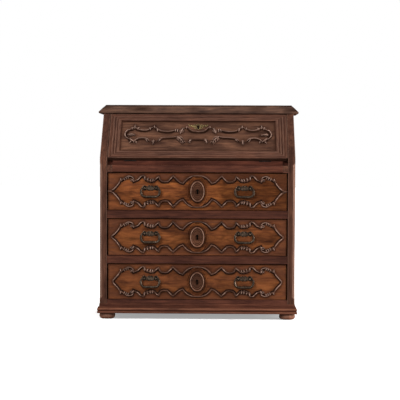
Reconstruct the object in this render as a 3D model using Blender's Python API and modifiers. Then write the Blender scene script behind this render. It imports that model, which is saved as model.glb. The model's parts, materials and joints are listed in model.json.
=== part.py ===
"""Slant-front writing bureau in carved walnut.

A carcase on a moulded base frame with bun feet holds three long drawers with drop handles. Above
them a hinged flap closes a fitted desk, and swings down onto two lopers that pull out under it.

The pieces are laid out with the carcase front on y = 0 and its back towards +y. One empty carries
them all and sets the origin on the floor, under the middle of the whole bureau. The flap's own
frame has its y axis up the slope and its z axis out of the flap's face.
"""

import math

import bmesh
import bpy
from mathutils import Matrix, Vector

# Carcase
CARCASE_WIDTH = 0.956
CARCASE_DEPTH = 0.470
SIDE_THICKNESS = 0.036
BACK_THICKNESS = 0.012
BOTTOM_BOARD = 0.020
RAIL_HEIGHT = 0.039
RAIL_RECESS = 0.001
RAIL_BACK_WALL = 0.012
RUNNER_WIDTH = 0.030
TONGUE_LENGTH = 0.008
TONGUE_SETBACK = 0.014
CHAMFER = 0.008
CHAMFER_FOOT = 0.006
CHAMFER_HEAD = 0.012

# Top board
TOP_THICKNESS = 0.043
TOP_LIP = 0.010
TOP_BEVEL_RUN = 0.035
TOP_OVERHANG = 0.025
TOP_FRONT_OVERHANG = 0.0077

# Base frame and feet
FOOT_HEIGHT = 0.031
FOOT_RADIUS = 0.037
FOOT_SETBACK = 0.012
FOOT_SHOULDER = 0.030
FOOT_SOLE = 0.027
FOOT_BULGE_STEPS = 6
FOOT_BULGE_LOW = 0.06
FOOT_BULGE_HIGH = 0.90
TENON_RADIUS = 0.009
TENON_LENGTH = 0.020
TENON_WALL = 0.007
BASE_HEIGHT = 0.045
BASE_PROJECTION = 0.014

# Long drawers
BOTTOM_OPENING = 0.177
MIDDLE_OPENING = 0.183
TOP_OPENING = 0.186
FRONT_THICKNESS = 0.022
FRONT_RECESS = 0.003
DRAWER_CLEARANCE = 0.0015
DRAWER_SIDE_CLEARANCE = 0.003
DRAWER_WALL = 0.010
DRAWER_WALL_DROP = 0.010
DRAWER_BACK_SPACE = 0.018

# Carved mouldings on the drawer fronts and the flap
CARTOUCHE_WIDTH = 0.013
CARTOUCHE_HEIGHT = 0.007
CARTOUCHE_CREST = 0.0052
CARTOUCHE_END_MARGIN = 0.021
CARTOUCHE_EDGE_MARGIN = 0.0145
MITRE_LIMIT = 1.6
BOSS_CLEARANCE = 0.014
BOSS_HALF_WIDTH = 0.038
BOSS_HEIGHT = 0.008
CARVING_BAY = 0.072
CARVING_END_MARGIN = 0.030
CARVING_EDGE_MARGIN = 0.036

# Drop handles
HANDLE_INSET = 0.209
HANDLE_RISE = 0.016
PLATE_HALF_WIDTH = 0.041
PLATE_HALF_HEIGHT = 0.011
PLATE_THICKNESS = 0.002
POST_SPACING = 0.056
POST_BALL = 0.0055
POST_NECK = 0.0040
POST_ROSE = 0.0080
BAIL_HALF_WIDTH = 0.046
BAIL_DROP = 0.042
BAIL_PIN = 0.0020
BAIL_GRIP = 0.0032
BAIL_PIN_INSIDE = 0.0028
BAIL_PIN_OUTSIDE = 0.0072
BAIL_CLEARANCE = 0.0006
BAIL_BORE_CLEARANCE = 0.0004

# Locks
LOCK_WIDTH = 0.080
LOCK_DEPTH = 0.012
LOCK_BELOW_KEY = 0.020
LOCK_TOP_GAP = 0.001
BOLT_WIDTH = 0.030
BOLT_THICKNESS = 0.006
BOLT_LENGTH = 0.045
BOLT_THROW = 0.010
BOLT_RUN = 0.0004
MORTISE_CLEARANCE = 0.001
KEYHOLE_RADIUS = 0.0035
KEYHOLE_SLOT = 0.0016
KEYHOLE_DROP = 0.011

# Flap and desk
FLAP_SLOPE = math.radians(48.0)
FLAP_THICKNESS = 0.022
FLAP_SIDE_CLEARANCE = 0.0015
FLAP_TOP_CLEARANCE = 0.0025
FLAP_STILE = 0.060
FLAP_TOP_RAIL = 0.045
FLAP_BOTTOM_RAIL = 0.053
PANEL_THICKNESS = 0.015
HINGE_SETBACK = 0.018
HINGE_LENGTH = 0.060
HINGE_INSET = 0.112
HINGE_LEAF_WIDTH = 0.028
HINGE_LEAF = 0.002
KNUCKLE_RADIUS = 0.0034
KNUCKLE_CLEARANCE = 0.0006
PIN_RADIUS = 0.0016
DESK_FRONT_GAP = 0.0005
DESK_NOTCH = 0.012
DESK_HEADROOM = 0.238
STOP_LAP = 0.015
STOP_COVER = 0.012
STOP_THICKNESS = 0.022
ESCUTCHEON_HALF_WIDTH = 0.050
ESCUTCHEON_HALF_HEIGHT = 0.016
ESCUTCHEON_THICKNESS = 0.0015

# Lopers
LOPER_WIDTH = 0.024
LOPER_HEIGHT = 0.0275
LOPER_LEDGE = 0.0065
LOPER_CLEARANCE = 0.0005
LOPER_GUIDE = 0.017
LOPER_BACK_SPACE = 0.085

# Gallery inside the desk
GALLERY_GAP = 0.030
GALLERY_BOARD = 0.008
SMALL_DRAWER_HEIGHT = 0.076
SMALL_DRAWER_WALL = 0.007
SMALL_DRAWER_BACK_SPACE = 0.012
GALLERY_BAY = 0.290
PIGEONHOLES = 5
KNOB_RADIUS = 0.008
KNOB_REACH = 0.016

# Gap left between pieces that touch, and the sides of round work
SEAT = 0.0003
LATHE_STEPS = 20
BOSS_STEPS = 24
PIN_SIDES = 12
SMOOTH_ANGLE = math.radians(35.0)

# Levels and places worked out from the sizes above
HALF_WIDTH = CARCASE_WIDTH / 2
INNER = HALF_WIDTH - SIDE_THICKNESS
BACK_FACE = CARCASE_DEPTH - BACK_THICKNESS
Z_FLOOR = FOOT_HEIGHT + BASE_HEIGHT
Z_BOTTOM_OPENING = Z_FLOOR + BOTTOM_BOARD
Z_LOWER_RAIL = Z_BOTTOM_OPENING + BOTTOM_OPENING
Z_MIDDLE_OPENING = Z_LOWER_RAIL + RAIL_HEIGHT
Z_UPPER_RAIL = Z_MIDDLE_OPENING + MIDDLE_OPENING
Z_TOP_OPENING = Z_UPPER_RAIL + RAIL_HEIGHT
Z_TOP_RAIL = Z_TOP_OPENING + TOP_OPENING
Z_DESK_UNDER = Z_TOP_RAIL + LOPER_LEDGE + LOPER_HEIGHT + 2 * LOPER_CLEARANCE
Z_DESK = Z_DESK_UNDER + FLAP_THICKNESS
Z_TOP_UNDER = Z_DESK + DESK_HEADROOM
BOLT_FACE = FRONT_THICKNESS + SEAT + (LOCK_DEPTH - BOLT_THICKNESS) / 2
RAIL_BACK = FRONT_RECESS + BOLT_FACE + BOLT_THICKNESS + RAIL_BACK_WALL
BAIL_STANDOFF = SEAT + CARTOUCHE_HEIGHT + BAIL_CLEARANCE + BAIL_GRIP
FOOT_INSET = FOOT_SETBACK + FOOT_RADIUS
ORIGIN_SHIFT = (BASE_PROJECTION - CARCASE_DEPTH) / 2

# Half of each ornament from its right tip to its top centre: shares of its half length and half
# height, how far the stretch to the next point bows inwards, as a share of the half height, and
# the number of straight pieces in that stretch
CARTOUCHE = (
    (1.000, 0.00, 0.08, 3),
    (0.872, 0.78, 0.00, 1),
    (0.843, 0.69, -0.18, 4),
    (0.742, 0.88, 0.00, 1),
    (0.745, 0.66, 0.05, 2),
    (0.613, 1.00, 0.09, 3),
    (0.493, 0.67, 0.00, 1),
    (0.456, 0.91, 0.33, 5),
    (0.277, 0.96, 0.04, 2),
    (0.175, 0.45, -0.147, 4),
    (0.000, 1.00, 0.00, 1),
)
CARVING = (
    (1.000, 0.00, 0.12, 3),
    (0.845, 1.00, 0.36, 4),
    (0.510, 0.80, 0.40, 4),
    (0.000, 0.76, 0.00, 1),
)
CARVING_MIDDLE_SHARE = 0.36
CARVING_NECK_SHARE = 0.56

# Right half of each flat outline, top centre to bottom centre, as shares of its half sizes
PLATE_OUTLINE = (
    (0.00, 0.75), (0.14, 1.00), (0.30, 0.80), (0.46, 0.62), (0.56, 0.85), (0.68, 0.98),
    (0.82, 0.80), (0.90, 0.45), (1.00, 0.00), (0.90, -0.45), (0.80, -0.75), (0.66, -0.85),
    (0.54, -0.62), (0.40, -0.70), (0.22, -0.85), (0.10, -1.00), (0.00, -0.80),
)
ESCUTCHEON_OUTLINE = (
    (0.00, 1.00), (0.16, 0.72), (0.32, 0.94), (0.48, 0.72), (0.68, 0.88), (1.00, 0.46),
    (0.84, 0.10), (0.92, -0.28), (0.66, -0.20), (0.48, -0.52), (0.28, -0.76), (0.12, -0.62),
    (0.00, -1.00),
)
# Sections: the base frame's outside as shares of projection and height, the oval boss from its
# middle as shares of its half size and height, and a knob as shares of its radius and reach
BASE_SECTION = (
    (0.70, 0.00), (1.00, 0.06), (1.00, 0.20), (0.86, 0.23), (0.97, 0.30), (1.00, 0.37),
    (0.95, 0.44), (0.76, 0.50), (0.50, 0.62), (0.28, 0.76), (0.16, 0.90), (0.12, 1.00),
)
BOSS_SECTION = (
    (0.00, 0.45), (0.55, 0.45), (0.68, 0.60), (0.78, 0.95), (0.86, 1.00), (0.93, 0.80),
    (1.00, 0.30), (1.00, 0.00), (0.00, 0.00),
)
KNOB_SECTION = (
    (0.0, 1.00), (0.6, 0.95), (1.0, 0.70), (0.8, 0.45), (0.5, 0.25), (0.7, 0.00), (0.7, -0.22),
    (0.0, -0.22),
)
# Half of a bail from its pin to the middle of its grip: shares of half width and drop, thickness
BAIL_POINTS = ((0.99, 0.22, 0.35), (0.97, 0.56, 0.45), (0.74, 0.93, 0.65), (0.32, 1.00, 0.85))

# Frames that turn flat work: facing the viewer or the back, standing across, or laid along X
FACING = Matrix.Rotation(math.pi / 2, 4, "X")
FACING_BACK = Matrix.Rotation(math.pi, 4, "Z") @ FACING
ALONG = Matrix.Rotation(math.pi / 2, 4, "Y")
ACROSS = Matrix(((0, 0, 1, 0), (1, 0, 0, 0), (0, 1, 0, 0), (0, 0, 0, 1)))


def clear_scene():
    """Empties the scene."""
    for obj in list(bpy.data.objects):
        bpy.data.objects.remove(obj, do_unlink=True)


def new_collection(name):
    """A collection under the scene's own."""
    group = bpy.data.collections.new(name)
    bpy.context.scene.collection.children.link(group)
    return group


clear_scene()
PARTS = new_collection("writing_bureau")
CUTTERS = new_collection("cutters")


def finish(name, colour, roughness, metallic=0.0):
    """A plain material for one kind of surface."""
    material = bpy.data.materials.new(name)
    material.use_nodes = True
    shader = material.node_tree.nodes["Principled BSDF"]
    shader.inputs["Base Color"].default_value = (*colour, 1.0)
    shader.inputs["Roughness"].default_value = roughness
    shader.inputs["Metallic"].default_value = metallic
    return material


WALNUT = finish("carcase_walnut", (0.095, 0.040, 0.024), 0.45)
FIGURED = finish("figured_walnut", (0.200, 0.070, 0.024), 0.40)
CARVED = finish("carved_walnut", (0.075, 0.034, 0.021), 0.42)
PINE = finish("pine", (0.420, 0.240, 0.110), 0.70)
BRONZE = finish("dark_bronze", (0.070, 0.050, 0.032), 0.45, 1.0)
BRASS = finish("brass", (0.420, 0.290, 0.120), 0.38, 1.0)
IRON = finish("iron", (0.090, 0.080, 0.075), 0.55, 1.0)


def empty(name, location, parent=None, turn=0.0):
    """An empty that carries pieces, turned about X where it is the flap's."""
    obj = bpy.data.objects.new(name, None)
    obj.empty_display_size = 0.05
    obj.location = location
    obj.rotation_euler = (turn, 0.0, 0.0)
    obj.parent = parent
    PARTS.objects.link(obj)
    return obj


def place(name, data, parent, material, location=(0.0, 0.0, 0.0)):
    """A named piece under its carrier, shaded smooth where its faces meet gently."""
    obj = bpy.data.objects.new(name, data)
    obj.location = location
    obj.parent = parent
    data.materials.append(material)
    PARTS.objects.link(obj)
    if obj.type == "MESH":
        data.shade_smooth()
        data.set_sharp_from_angle(angle=SMOOTH_ANGLE)
    return obj


def tool(mesh, parent):
    """A shape that cuts a piece or is joined to it, and is no piece itself."""
    obj = bpy.data.objects.new(mesh.name, mesh)
    obj.parent = parent
    obj.hide_render = True
    obj.display_type = "WIRE"
    CUTTERS.objects.link(obj)
    return obj


def combine(target, mesh, operation, parent=None):
    """Adds a Boolean with a shape that is given in the target's carrier or another one."""
    modifier = target.modifiers.new(mesh.name, "BOOLEAN")
    modifier.operation = operation
    modifier.solver = "EXACT"
    modifier.object = tool(mesh, parent or target.parent)


def cut(target, mesh, parent=None):
    """Takes a shape out of a piece."""
    combine(target, mesh, "DIFFERENCE", parent)


def fuse(target, mesh, parent=None):
    """Joins a shape to a piece."""
    combine(target, mesh, "UNION", parent)


def to_mesh(bm, name):
    """A mesh with its faces turned outwards."""
    bmesh.ops.recalc_face_normals(bm, faces=bm.faces)
    mesh = bpy.data.meshes.new(name)
    bm.to_mesh(mesh)
    bm.free()
    return mesh


def box_mesh(name, low, high):
    """A box between two corners."""
    low = Vector(low)
    high = Vector(high)
    bm = bmesh.new()
    bmesh.ops.create_cube(bm, size=1.0)
    bmesh.ops.scale(bm, vec=high - low, verts=bm.verts)
    bmesh.ops.translate(bm, vec=(low + high) / 2, verts=bm.verts)
    return to_mesh(bm, name)


def box(name, low, high, parent, material):
    """A piece that is one plain board or block."""
    return place(name, box_mesh(name, low, high), parent, material)


def rod_mesh(name, radius, start, end, turn, sides=PIN_SIDES):
    """A round bar from start to end along an axis that turn lays down from Z."""
    bm = bmesh.new()
    bmesh.ops.create_cone(
        bm, cap_ends=True, segments=sides, radius1=radius, radius2=radius, depth=end - start
    )
    bmesh.ops.translate(bm, vec=(0.0, 0.0, (start + end) / 2), verts=bm.verts)
    mesh = to_mesh(bm, name)
    mesh.transform(turn)
    return mesh


def evaluated_mesh(obj, name):
    """The shape of an object with its modifiers, welded shut, in place of the object."""
    PARTS.objects.link(obj)
    bpy.context.view_layer.update()
    graph = bpy.context.evaluated_depsgraph_get()
    mesh = bpy.data.meshes.new_from_object(obj.evaluated_get(graph))
    mesh.name = name
    bpy.data.objects.remove(obj)
    bm = bmesh.new()
    bm.from_mesh(mesh)
    bmesh.ops.remove_doubles(bm, verts=bm.verts, dist=1e-6)
    bmesh.ops.recalc_face_normals(bm, faces=bm.faces)
    bm.to_mesh(mesh)
    bm.free()
    return mesh


def slab_mesh(name, outline, low, high, frame):
    """A flat outline made solid from low to high along the frame's normal."""
    half = (high - low) / 2
    curve = bpy.data.curves.new(name, "CURVE")
    curve.dimensions = "2D"
    curve.fill_mode = "BOTH"
    curve.extrude = half
    spline = curve.splines.new("POLY")
    spline.points.add(len(outline) - 1)
    spline.use_cyclic_u = True
    for point, (across, up) in zip(spline.points, outline):
        point.co = (across, up, 0.0, 1.0)
    mesh = evaluated_mesh(bpy.data.objects.new(name, curve), name)
    bm = bmesh.new()
    bm.from_mesh(mesh)
    for side in (-1, 1):
        cap = [face for face in bm.faces if all(side * vert.co.z > half / 2 for vert in face.verts)]
        bmesh.ops.dissolve_faces(bm, faces=cap)
    bm.to_mesh(mesh)
    bm.free()
    mesh.transform(frame @ Matrix.Translation((0.0, 0.0, (low + high) / 2)))
    return mesh


def lathe_mesh(name, profile, steps=LATHE_STEPS):
    """A turned shape about Z from a profile that runs down its outer side."""
    bm = bmesh.new()
    verts = [bm.verts.new((radius, 0.0, height)) for radius, height in profile]
    for upper, lower in zip(verts, verts[1:]):
        bm.edges.new((upper, lower))
    mesh = bpy.data.meshes.new(name)
    bm.to_mesh(mesh)
    bm.free()
    obj = bpy.data.objects.new(name, mesh)
    screw = obj.modifiers.new("turn", "SCREW")
    screw.steps = steps
    screw.render_steps = steps
    screw.use_merge_vertices = True
    screw.merge_threshold = 0.00001
    return evaluated_mesh(obj, name)


def mitre_at(path, index):
    """The direction and stretch of a mitred joint at one point of a closed path."""
    here = path[index]
    before = (here - path[index - 1]).normalized()
    after = (path[(index + 1) % len(path)] - here).normalized()
    left_before = Vector((-before.y, before.x))
    left_after = Vector((-after.y, after.x))
    mitre = (left_before + left_after) / (1.0 + left_before.dot(left_after))
    if mitre.length > MITRE_LIMIT:
        mitre = mitre.normalized() * MITRE_LIMIT
    return mitre


def moulding_mesh(name, path, profile):
    """A profile of (inwards, up) points carried round a closed path, mitred at its corners."""
    bm = bmesh.new()
    rings = []
    for index, point in enumerate(path):
        mitre = mitre_at(path, index)
        ring = [bm.verts.new((*(point + mitre * inwards), up)) for inwards, up in profile]
        rings.append(ring)
    for ring, following in zip(rings, rings[1:] + rings[:1]):
        for k in range(len(profile)):
            bm.faces.new((ring[k - 1], ring[k], following[k], following[k - 1]))
    return to_mesh(bm, name)


def bowed(start, end, bow, steps):
    """Points of an arc from start up to, but not with, end; bow is its height to the left."""
    if steps == 1 or abs(bow) < 1e-6:
        return [start]
    chord = end - start
    along = chord.normalized()
    left = Vector((-along.y, along.x))
    radius = (chord.length_squared / 4 + bow * bow) / (2 * bow)
    half_angle = 2 * math.atan2(2 * bow, chord.length)
    middle = (start + end) / 2 + left * (bow - radius)
    points = []
    for step in range(steps):
        angle = half_angle * (2 * step / steps - 1)
        points.append(middle + along * radius * math.sin(angle) + left * radius * math.cos(angle))
    return points


def ornament_path(quarter):
    """A closed path, alike in all four quarters, from (point, bow, steps) of its first quarter."""
    points = []
    for (start, bow, steps), (end, _, _) in zip(quarter, quarter[1:]):
        points.extend(bowed(start, end, bow, steps))
    top = quarter[-1][0]
    upper = points + [top] + [Vector((-p.x, p.y)) for p in reversed(points)]
    lower = [Vector((p.x, -p.y)) for p in reversed(upper[1:-1])]
    return upper + lower


def relief_profile():
    """The section of the carved mouldings: a flat foot, sloped sides and a narrow crest."""
    half = CARTOUCHE_WIDTH / 2
    crest = CARTOUCHE_CREST / 2
    top = SEAT + CARTOUCHE_HEIGHT
    return ((-half, SEAT), (-crest, top), (crest, top), (half, SEAT))


def mirrored(half, half_width, half_height):
    """A whole outline from the shares of its right half."""
    right = [(share_x * half_width, share_y * half_height) for share_x, share_y in half]
    return right + [(-across, up) for across, up in reversed(right[1:-1])]


def keyhole_outline(centre_up):
    """A round hole with a slot below it."""
    opening = math.asin(KEYHOLE_SLOT / KEYHOLE_RADIUS)
    outline = []
    for step in range(PIN_SIDES + 1):
        angle = -math.pi / 2 + opening + step / PIN_SIDES * (2 * math.pi - 2 * opening)
        across = KEYHOLE_RADIUS * math.cos(angle)
        outline.append((across, centre_up + KEYHOLE_RADIUS * math.sin(angle)))
    outline.append((-KEYHOLE_SLOT, centre_up - KEYHOLE_DROP))
    outline.append((KEYHOLE_SLOT, centre_up - KEYHOLE_DROP))
    return outline


def slope_point(up_slope, out):
    """Where a place in the flap's frame lies in the bureau's (y, z)."""
    sine = math.sin(FLAP_SLOPE)
    cosine = math.cos(FLAP_SLOPE)
    return (
        HINGE_SETBACK + up_slope * cosine - out * sine,
        Z_DESK + up_slope * sine + out * cosine,
    )


def slope_edge(height):
    """Depth of the flap's outer face, and of the side boards' slanted edges, at a height."""
    foot_y, foot_z = slope_point(0.0, FLAP_THICKNESS)
    return foot_y + (height - foot_z) / math.tan(FLAP_SLOPE)


def slope_start():
    """Height at which the side boards' front edges turn into the slope."""
    foot_y, foot_z = slope_point(0.0, FLAP_THICKNESS)
    return foot_z - foot_y * math.tan(FLAP_SLOPE)


TOP_FRONT = slope_edge(Z_TOP_UNDER) - TOP_FRONT_OVERHANG
FLAP_REACH = math.hypot(TOP_FRONT - HINGE_SETBACK, DESK_HEADROOM) - FLAP_TOP_CLEARANCE
FLAP_LENGTH = math.sqrt(FLAP_REACH**2 - FLAP_THICKNESS**2)
STOP_BACK = slope_point(FLAP_LENGTH, 0.0)[0] + STOP_THICKNESS
GALLERY_FRONT = STOP_BACK + GALLERY_GAP


def tongued_outline(front, back, tongue_back, notches=(), corner=()):
    """Plan of a board between the sides, with a tongue into each side behind its front edge."""
    half = INNER - SEAT
    tip = INNER + TONGUE_LENGTH
    start = front + TONGUE_SETBACK
    right = list(corner) or [(half, front)]
    right += [(half, start), (tip, start), (tip, tongue_back), (half, tongue_back)]
    right += list(notches) or [(half, back)]
    return right + [(-across, depth) for across, depth in reversed(right)]


def housing(name, side, front, tongue_back, low, high):
    """The groove in one side board for a board's tongue."""
    reach = INNER + TONGUE_LENGTH + SEAT
    edges = sorted((side * (INNER - TONGUE_LENGTH), side * reach))
    start = front + TONGUE_SETBACK - SEAT
    return box_mesh(name, (edges[0], start, low), (edges[1], tongue_back + SEAT, high))


def build_sides(root):
    """Side boards with slanted edges, housings for the boards between them and chamfered corners."""
    outline = [
        (0.0, Z_FLOOR + SEAT),
        (0.0, slope_start()),
        (slope_edge(Z_TOP_UNDER), Z_TOP_UNDER),
        (CARCASE_DEPTH, Z_TOP_UNDER),
        (CARCASE_DEPTH, Z_FLOOR + SEAT),
    ]
    tongue_back = RAIL_BACK - SEAT
    housings = (
        ("bottom_housing", RAIL_RECESS, BACK_FACE / 2, Z_FLOOR, Z_BOTTOM_OPENING + SEAT),
        ("lower_housing", RAIL_RECESS, tongue_back, Z_LOWER_RAIL - SEAT, Z_MIDDLE_OPENING + SEAT),
        ("upper_housing", RAIL_RECESS, tongue_back, Z_UPPER_RAIL - SEAT, Z_TOP_OPENING + SEAT),
        ("desk_housing", desk_front(), BACK_FACE / 2, Z_DESK_UNDER - SEAT, Z_DESK + SEAT),
    )
    reach = CHAMFER / math.sqrt(2)
    for name, side in (("side_left", -1), ("side_right", 1)):
        low, high = sorted((side * INNER, side * HALF_WIDTH))
        board = place(name, slab_mesh(name, outline, low, high, ACROSS), root, WALNUT)
        for label, front, back, bottom, top in housings:
            cut(board, housing(f"{name}_{label}", side, front, back, bottom, top))
        bar = box_mesh(
            f"{name}_chamfer",
            (-reach, -reach, Z_BOTTOM_OPENING + CHAMFER_FOOT),
            (reach, reach, Z_DESK_UNDER - CHAMFER_HEAD),
        )
        corner = Matrix.Translation((side * HALF_WIDTH, 0.0, 0.0))
        bar.transform(corner @ Matrix.Rotation(math.pi / 4, 4, "Z"))
        cut(board, bar)


def build_top(root):
    """Top board with a broad bevel above a thin lip, at the front and both ends."""
    half = HALF_WIDTH + TOP_OVERHANG
    lip = Z_TOP_UNDER + SEAT + TOP_LIP
    top = Z_TOP_UNDER + SEAT + TOP_THICKNESS
    levels = (
        (half, TOP_FRONT, Z_TOP_UNDER + SEAT),
        (half, TOP_FRONT, lip),
        (half - TOP_BEVEL_RUN, TOP_FRONT + TOP_BEVEL_RUN, top),
    )
    bm = bmesh.new()
    for across, front, height in levels:
        for x in (-across, across):
            for y in (front, CARCASE_DEPTH):
                bm.verts.new((x, y, height))
    bmesh.ops.convex_hull(bm, input=bm.verts)
    place("top_board", to_mesh(bm, "top_board"), root, WALNUT)


def base_profile():
    """Section of the base frame: fillet, torus and cove outside, plain faces inside."""
    inner = FOOT_INSET + TENON_RADIUS + TENON_WALL - BASE_PROJECTION
    outside = [(-out * BASE_PROJECTION, up * BASE_HEIGHT) for out, up in BASE_SECTION]
    return outside + [(inner, BASE_HEIGHT), (inner, 0.0)]


def foot_places():
    """Foot names with the places of their axes."""
    across = HALF_WIDTH + BASE_PROJECTION - FOOT_INSET
    front = FOOT_INSET - BASE_PROJECTION
    back = CARCASE_DEPTH - FOOT_INSET
    return (
        ("foot_front_left", -across, front),
        ("foot_front_right", across, front),
        ("foot_rear_left", -across, back),
        ("foot_rear_right", across, back),
    )


def build_base(root):
    """Moulded base frame, flush at the back, with a bored hole for each foot's tenon."""
    corners = (
        (HALF_WIDTH, 0.0),
        (HALF_WIDTH, CARCASE_DEPTH),
        (-HALF_WIDTH, CARCASE_DEPTH),
        (-HALF_WIDTH, 0.0),
    )
    mesh = moulding_mesh("base_frame", [Vector(corner) for corner in corners], base_profile())
    mesh.transform(Matrix.Translation((0.0, 0.0, FOOT_HEIGHT)))
    frame = place("base_frame", mesh, root, WALNUT)
    reach = HALF_WIDTH + 2 * BASE_PROJECTION
    behind = box_mesh(
        "base_back_trim",
        (-reach, CARCASE_DEPTH, 0.0),
        (reach, CARCASE_DEPTH + 2 * BASE_PROJECTION, Z_FLOOR + BASE_HEIGHT),
    )
    cut(frame, behind)
    for name, across, depth in foot_places():
        hole = rod_mesh(
            f"{name}_hole",
            TENON_RADIUS + SEAT,
            FOOT_HEIGHT - TENON_LENGTH,
            FOOT_HEIGHT + TENON_LENGTH + SEAT,
            Matrix.Translation((across, depth, 0.0)),
            LATHE_STEPS,
        )
        cut(frame, hole)


def build_feet(root):
    """Squat turned feet, each with a tenon up into the base frame."""
    shoulder = FOOT_HEIGHT - SEAT
    profile = [(0.0, FOOT_HEIGHT + TENON_LENGTH), (TENON_RADIUS, FOOT_HEIGHT + TENON_LENGTH)]
    profile += [(TENON_RADIUS, shoulder), (FOOT_SHOULDER, shoulder)]
    for step in range(FOOT_BULGE_STEPS + 1):
        done = step / FOOT_BULGE_STEPS
        angle = math.pi * done
        rim = FOOT_SHOULDER + (FOOT_SOLE - FOOT_SHOULDER) * done
        radius = rim + (FOOT_RADIUS - rim) * math.sin(angle)
        share = FOOT_BULGE_LOW + (FOOT_BULGE_HIGH - FOOT_BULGE_LOW) * (1 + math.cos(angle)) / 2
        profile.append((radius, shoulder * share))
    profile += [(FOOT_SOLE, 0.0), (0.0, 0.0)]
    for name, across, depth in foot_places():
        mesh = lathe_mesh(name, profile)
        place(name, mesh, root, WALNUT, (across, depth, 0.0))


def bolt_mortise(name, low):
    """The mortise in a rail's underside for the bolt of the drawer below it."""
    half = BOLT_WIDTH / 2 + MORTISE_CLEARANCE
    front = FRONT_RECESS + BOLT_FACE - MORTISE_CLEARANCE
    back = FRONT_RECESS + BOLT_FACE + BOLT_THICKNESS + MORTISE_CLEARANCE
    return box_mesh(name, (-half, front, low - BOLT_THROW), (half, back, low + BOLT_THROW))


def build_rails(root):
    """Drawer rails, each in one with its two runners, tongued into the sides."""
    half = INNER - SEAT
    runner_back = BACK_FACE - DRAWER_BACK_SPACE
    tongue_back = RAIL_BACK - 2 * SEAT
    inside = half - RUNNER_WIDTH
    notches = [(half, runner_back), (inside, runner_back), (inside, RAIL_BACK)]
    outline = tongued_outline(RAIL_RECESS, RAIL_BACK, tongue_back, notches)
    for name, low in (("lower_drawer_rail", Z_LOWER_RAIL), ("upper_drawer_rail", Z_UPPER_RAIL)):
        mesh = slab_mesh(name, outline, low, low + RAIL_HEIGHT, Matrix())
        rail = place(name, mesh, root, WALNUT)
        cut(rail, bolt_mortise(f"{name}_mortise", low))


def u_outline(half, inside, front, rail_back, arm_back):
    """Plan of a rail with an arm running back from each end."""
    right = [(half, front), (half, arm_back), (inside, arm_back), (inside, rail_back)]
    return right + [(-across, depth) for across, depth in reversed(right)]


def loper_guide_half():
    """Half the width of the rail between the lopers, with their clearance."""
    return INNER - LOPER_WIDTH - 2 * LOPER_CLEARANCE


def build_top_rail(root):
    """Rail over the top drawer, with a ledge and a guide for each loper at its ends."""
    guide = loper_guide_half()
    inside = guide - LOPER_GUIDE
    arm_back = BACK_FACE - DRAWER_BACK_SPACE
    ledge = u_outline(INNER - SEAT, inside, RAIL_RECESS, RAIL_BACK, arm_back)
    upper = u_outline(guide, inside, RAIL_RECESS, RAIL_BACK, arm_back)
    name = "top_rail"
    mesh = slab_mesh(name, ledge, Z_TOP_RAIL, Z_TOP_RAIL + LOPER_LEDGE, Matrix())
    rail = place(name, mesh, root, WALNUT)
    body_low = Z_TOP_RAIL + LOPER_LEDGE / 2
    fuse(rail, slab_mesh("top_rail_body", upper, body_low, Z_DESK_UNDER - SEAT, Matrix()))
    cut(rail, bolt_mortise("top_rail_mortise", Z_TOP_RAIL))


def desk_front():
    """Depth of the desk board's front edge, just behind the flap's hinge line."""
    return HINGE_SETBACK + DESK_FRONT_GAP


def build_boards(root):
    """Bottom board, desk board with a notch over each loper, and back panel, between the sides."""
    tongue_back = BACK_FACE / 2 - SEAT
    plan = tongued_outline(RAIL_RECESS, BACK_FACE - SEAT, tongue_back)
    mesh = slab_mesh("bottom_board", plan, Z_FLOOR + SEAT, Z_BOTTOM_OPENING, Matrix())
    place("bottom_board", mesh, root, WALNUT)
    front = desk_front()
    notch = front + DESK_NOTCH
    corner = [(loper_guide_half(), front), (loper_guide_half(), notch), (INNER - SEAT, notch)]
    plan = tongued_outline(front, BACK_FACE - SEAT, tongue_back, corner=corner)
    mesh = slab_mesh("desk_board", plan, Z_DESK_UNDER, Z_DESK, Matrix())
    desk = place("desk_board", mesh, root, WALNUT)
    for label, across in hinge_places():
        for mesh in hinge_recess(f"desk_recess_{label}", across, -1):
            mesh.transform(Matrix.Translation((0.0, HINGE_SETBACK, Z_DESK)))
            cut(desk, mesh)
    half = INNER - SEAT
    low = (-half, BACK_FACE, Z_FLOOR + SEAT)
    box("back_panel", low, (half, CARCASE_DEPTH, Z_TOP_UNDER), root, PINE)


def build_stop(root, flap):
    """Rail under the top board that the flap shuts against, and that takes the flap's bolt."""
    outline = [
        slope_point(FLAP_LENGTH - STOP_LAP, -SEAT),
        (STOP_BACK, slope_point(FLAP_LENGTH - STOP_LAP, -SEAT)[1]),
        (STOP_BACK, Z_TOP_UNDER),
        (slope_point(FLAP_LENGTH + FLAP_TOP_CLEARANCE, STOP_COVER)[0], Z_TOP_UNDER),
        slope_point(FLAP_LENGTH + FLAP_TOP_CLEARANCE, STOP_COVER),
        slope_point(FLAP_LENGTH + FLAP_TOP_CLEARANCE, -SEAT),
    ]
    half = INNER - SEAT
    mesh = slab_mesh("flap_stop_rail", outline, -half, half, ACROSS)
    rail = place("flap_stop_rail", mesh, root, WALNUT)
    across = BOLT_WIDTH / 2 + MORTISE_CLEARANCE
    face = (LOCK_DEPTH - BOLT_THICKNESS) / 2
    mortise = box_mesh(
        "flap_stop_mortise",
        (-across, FLAP_LENGTH, face - MORTISE_CLEARANCE),
        (across, FLAP_LENGTH + BOLT_THROW + MORTISE_CLEARANCE, face + BOLT_THICKNESS + MORTISE_CLEARANCE),
    )
    cut(rail, mortise, flap)


def hinge_places():
    """The flap's hinges by name, with their places across the bureau."""
    across = INNER - HINGE_INSET
    return (("left", -across), ("right", across))


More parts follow.
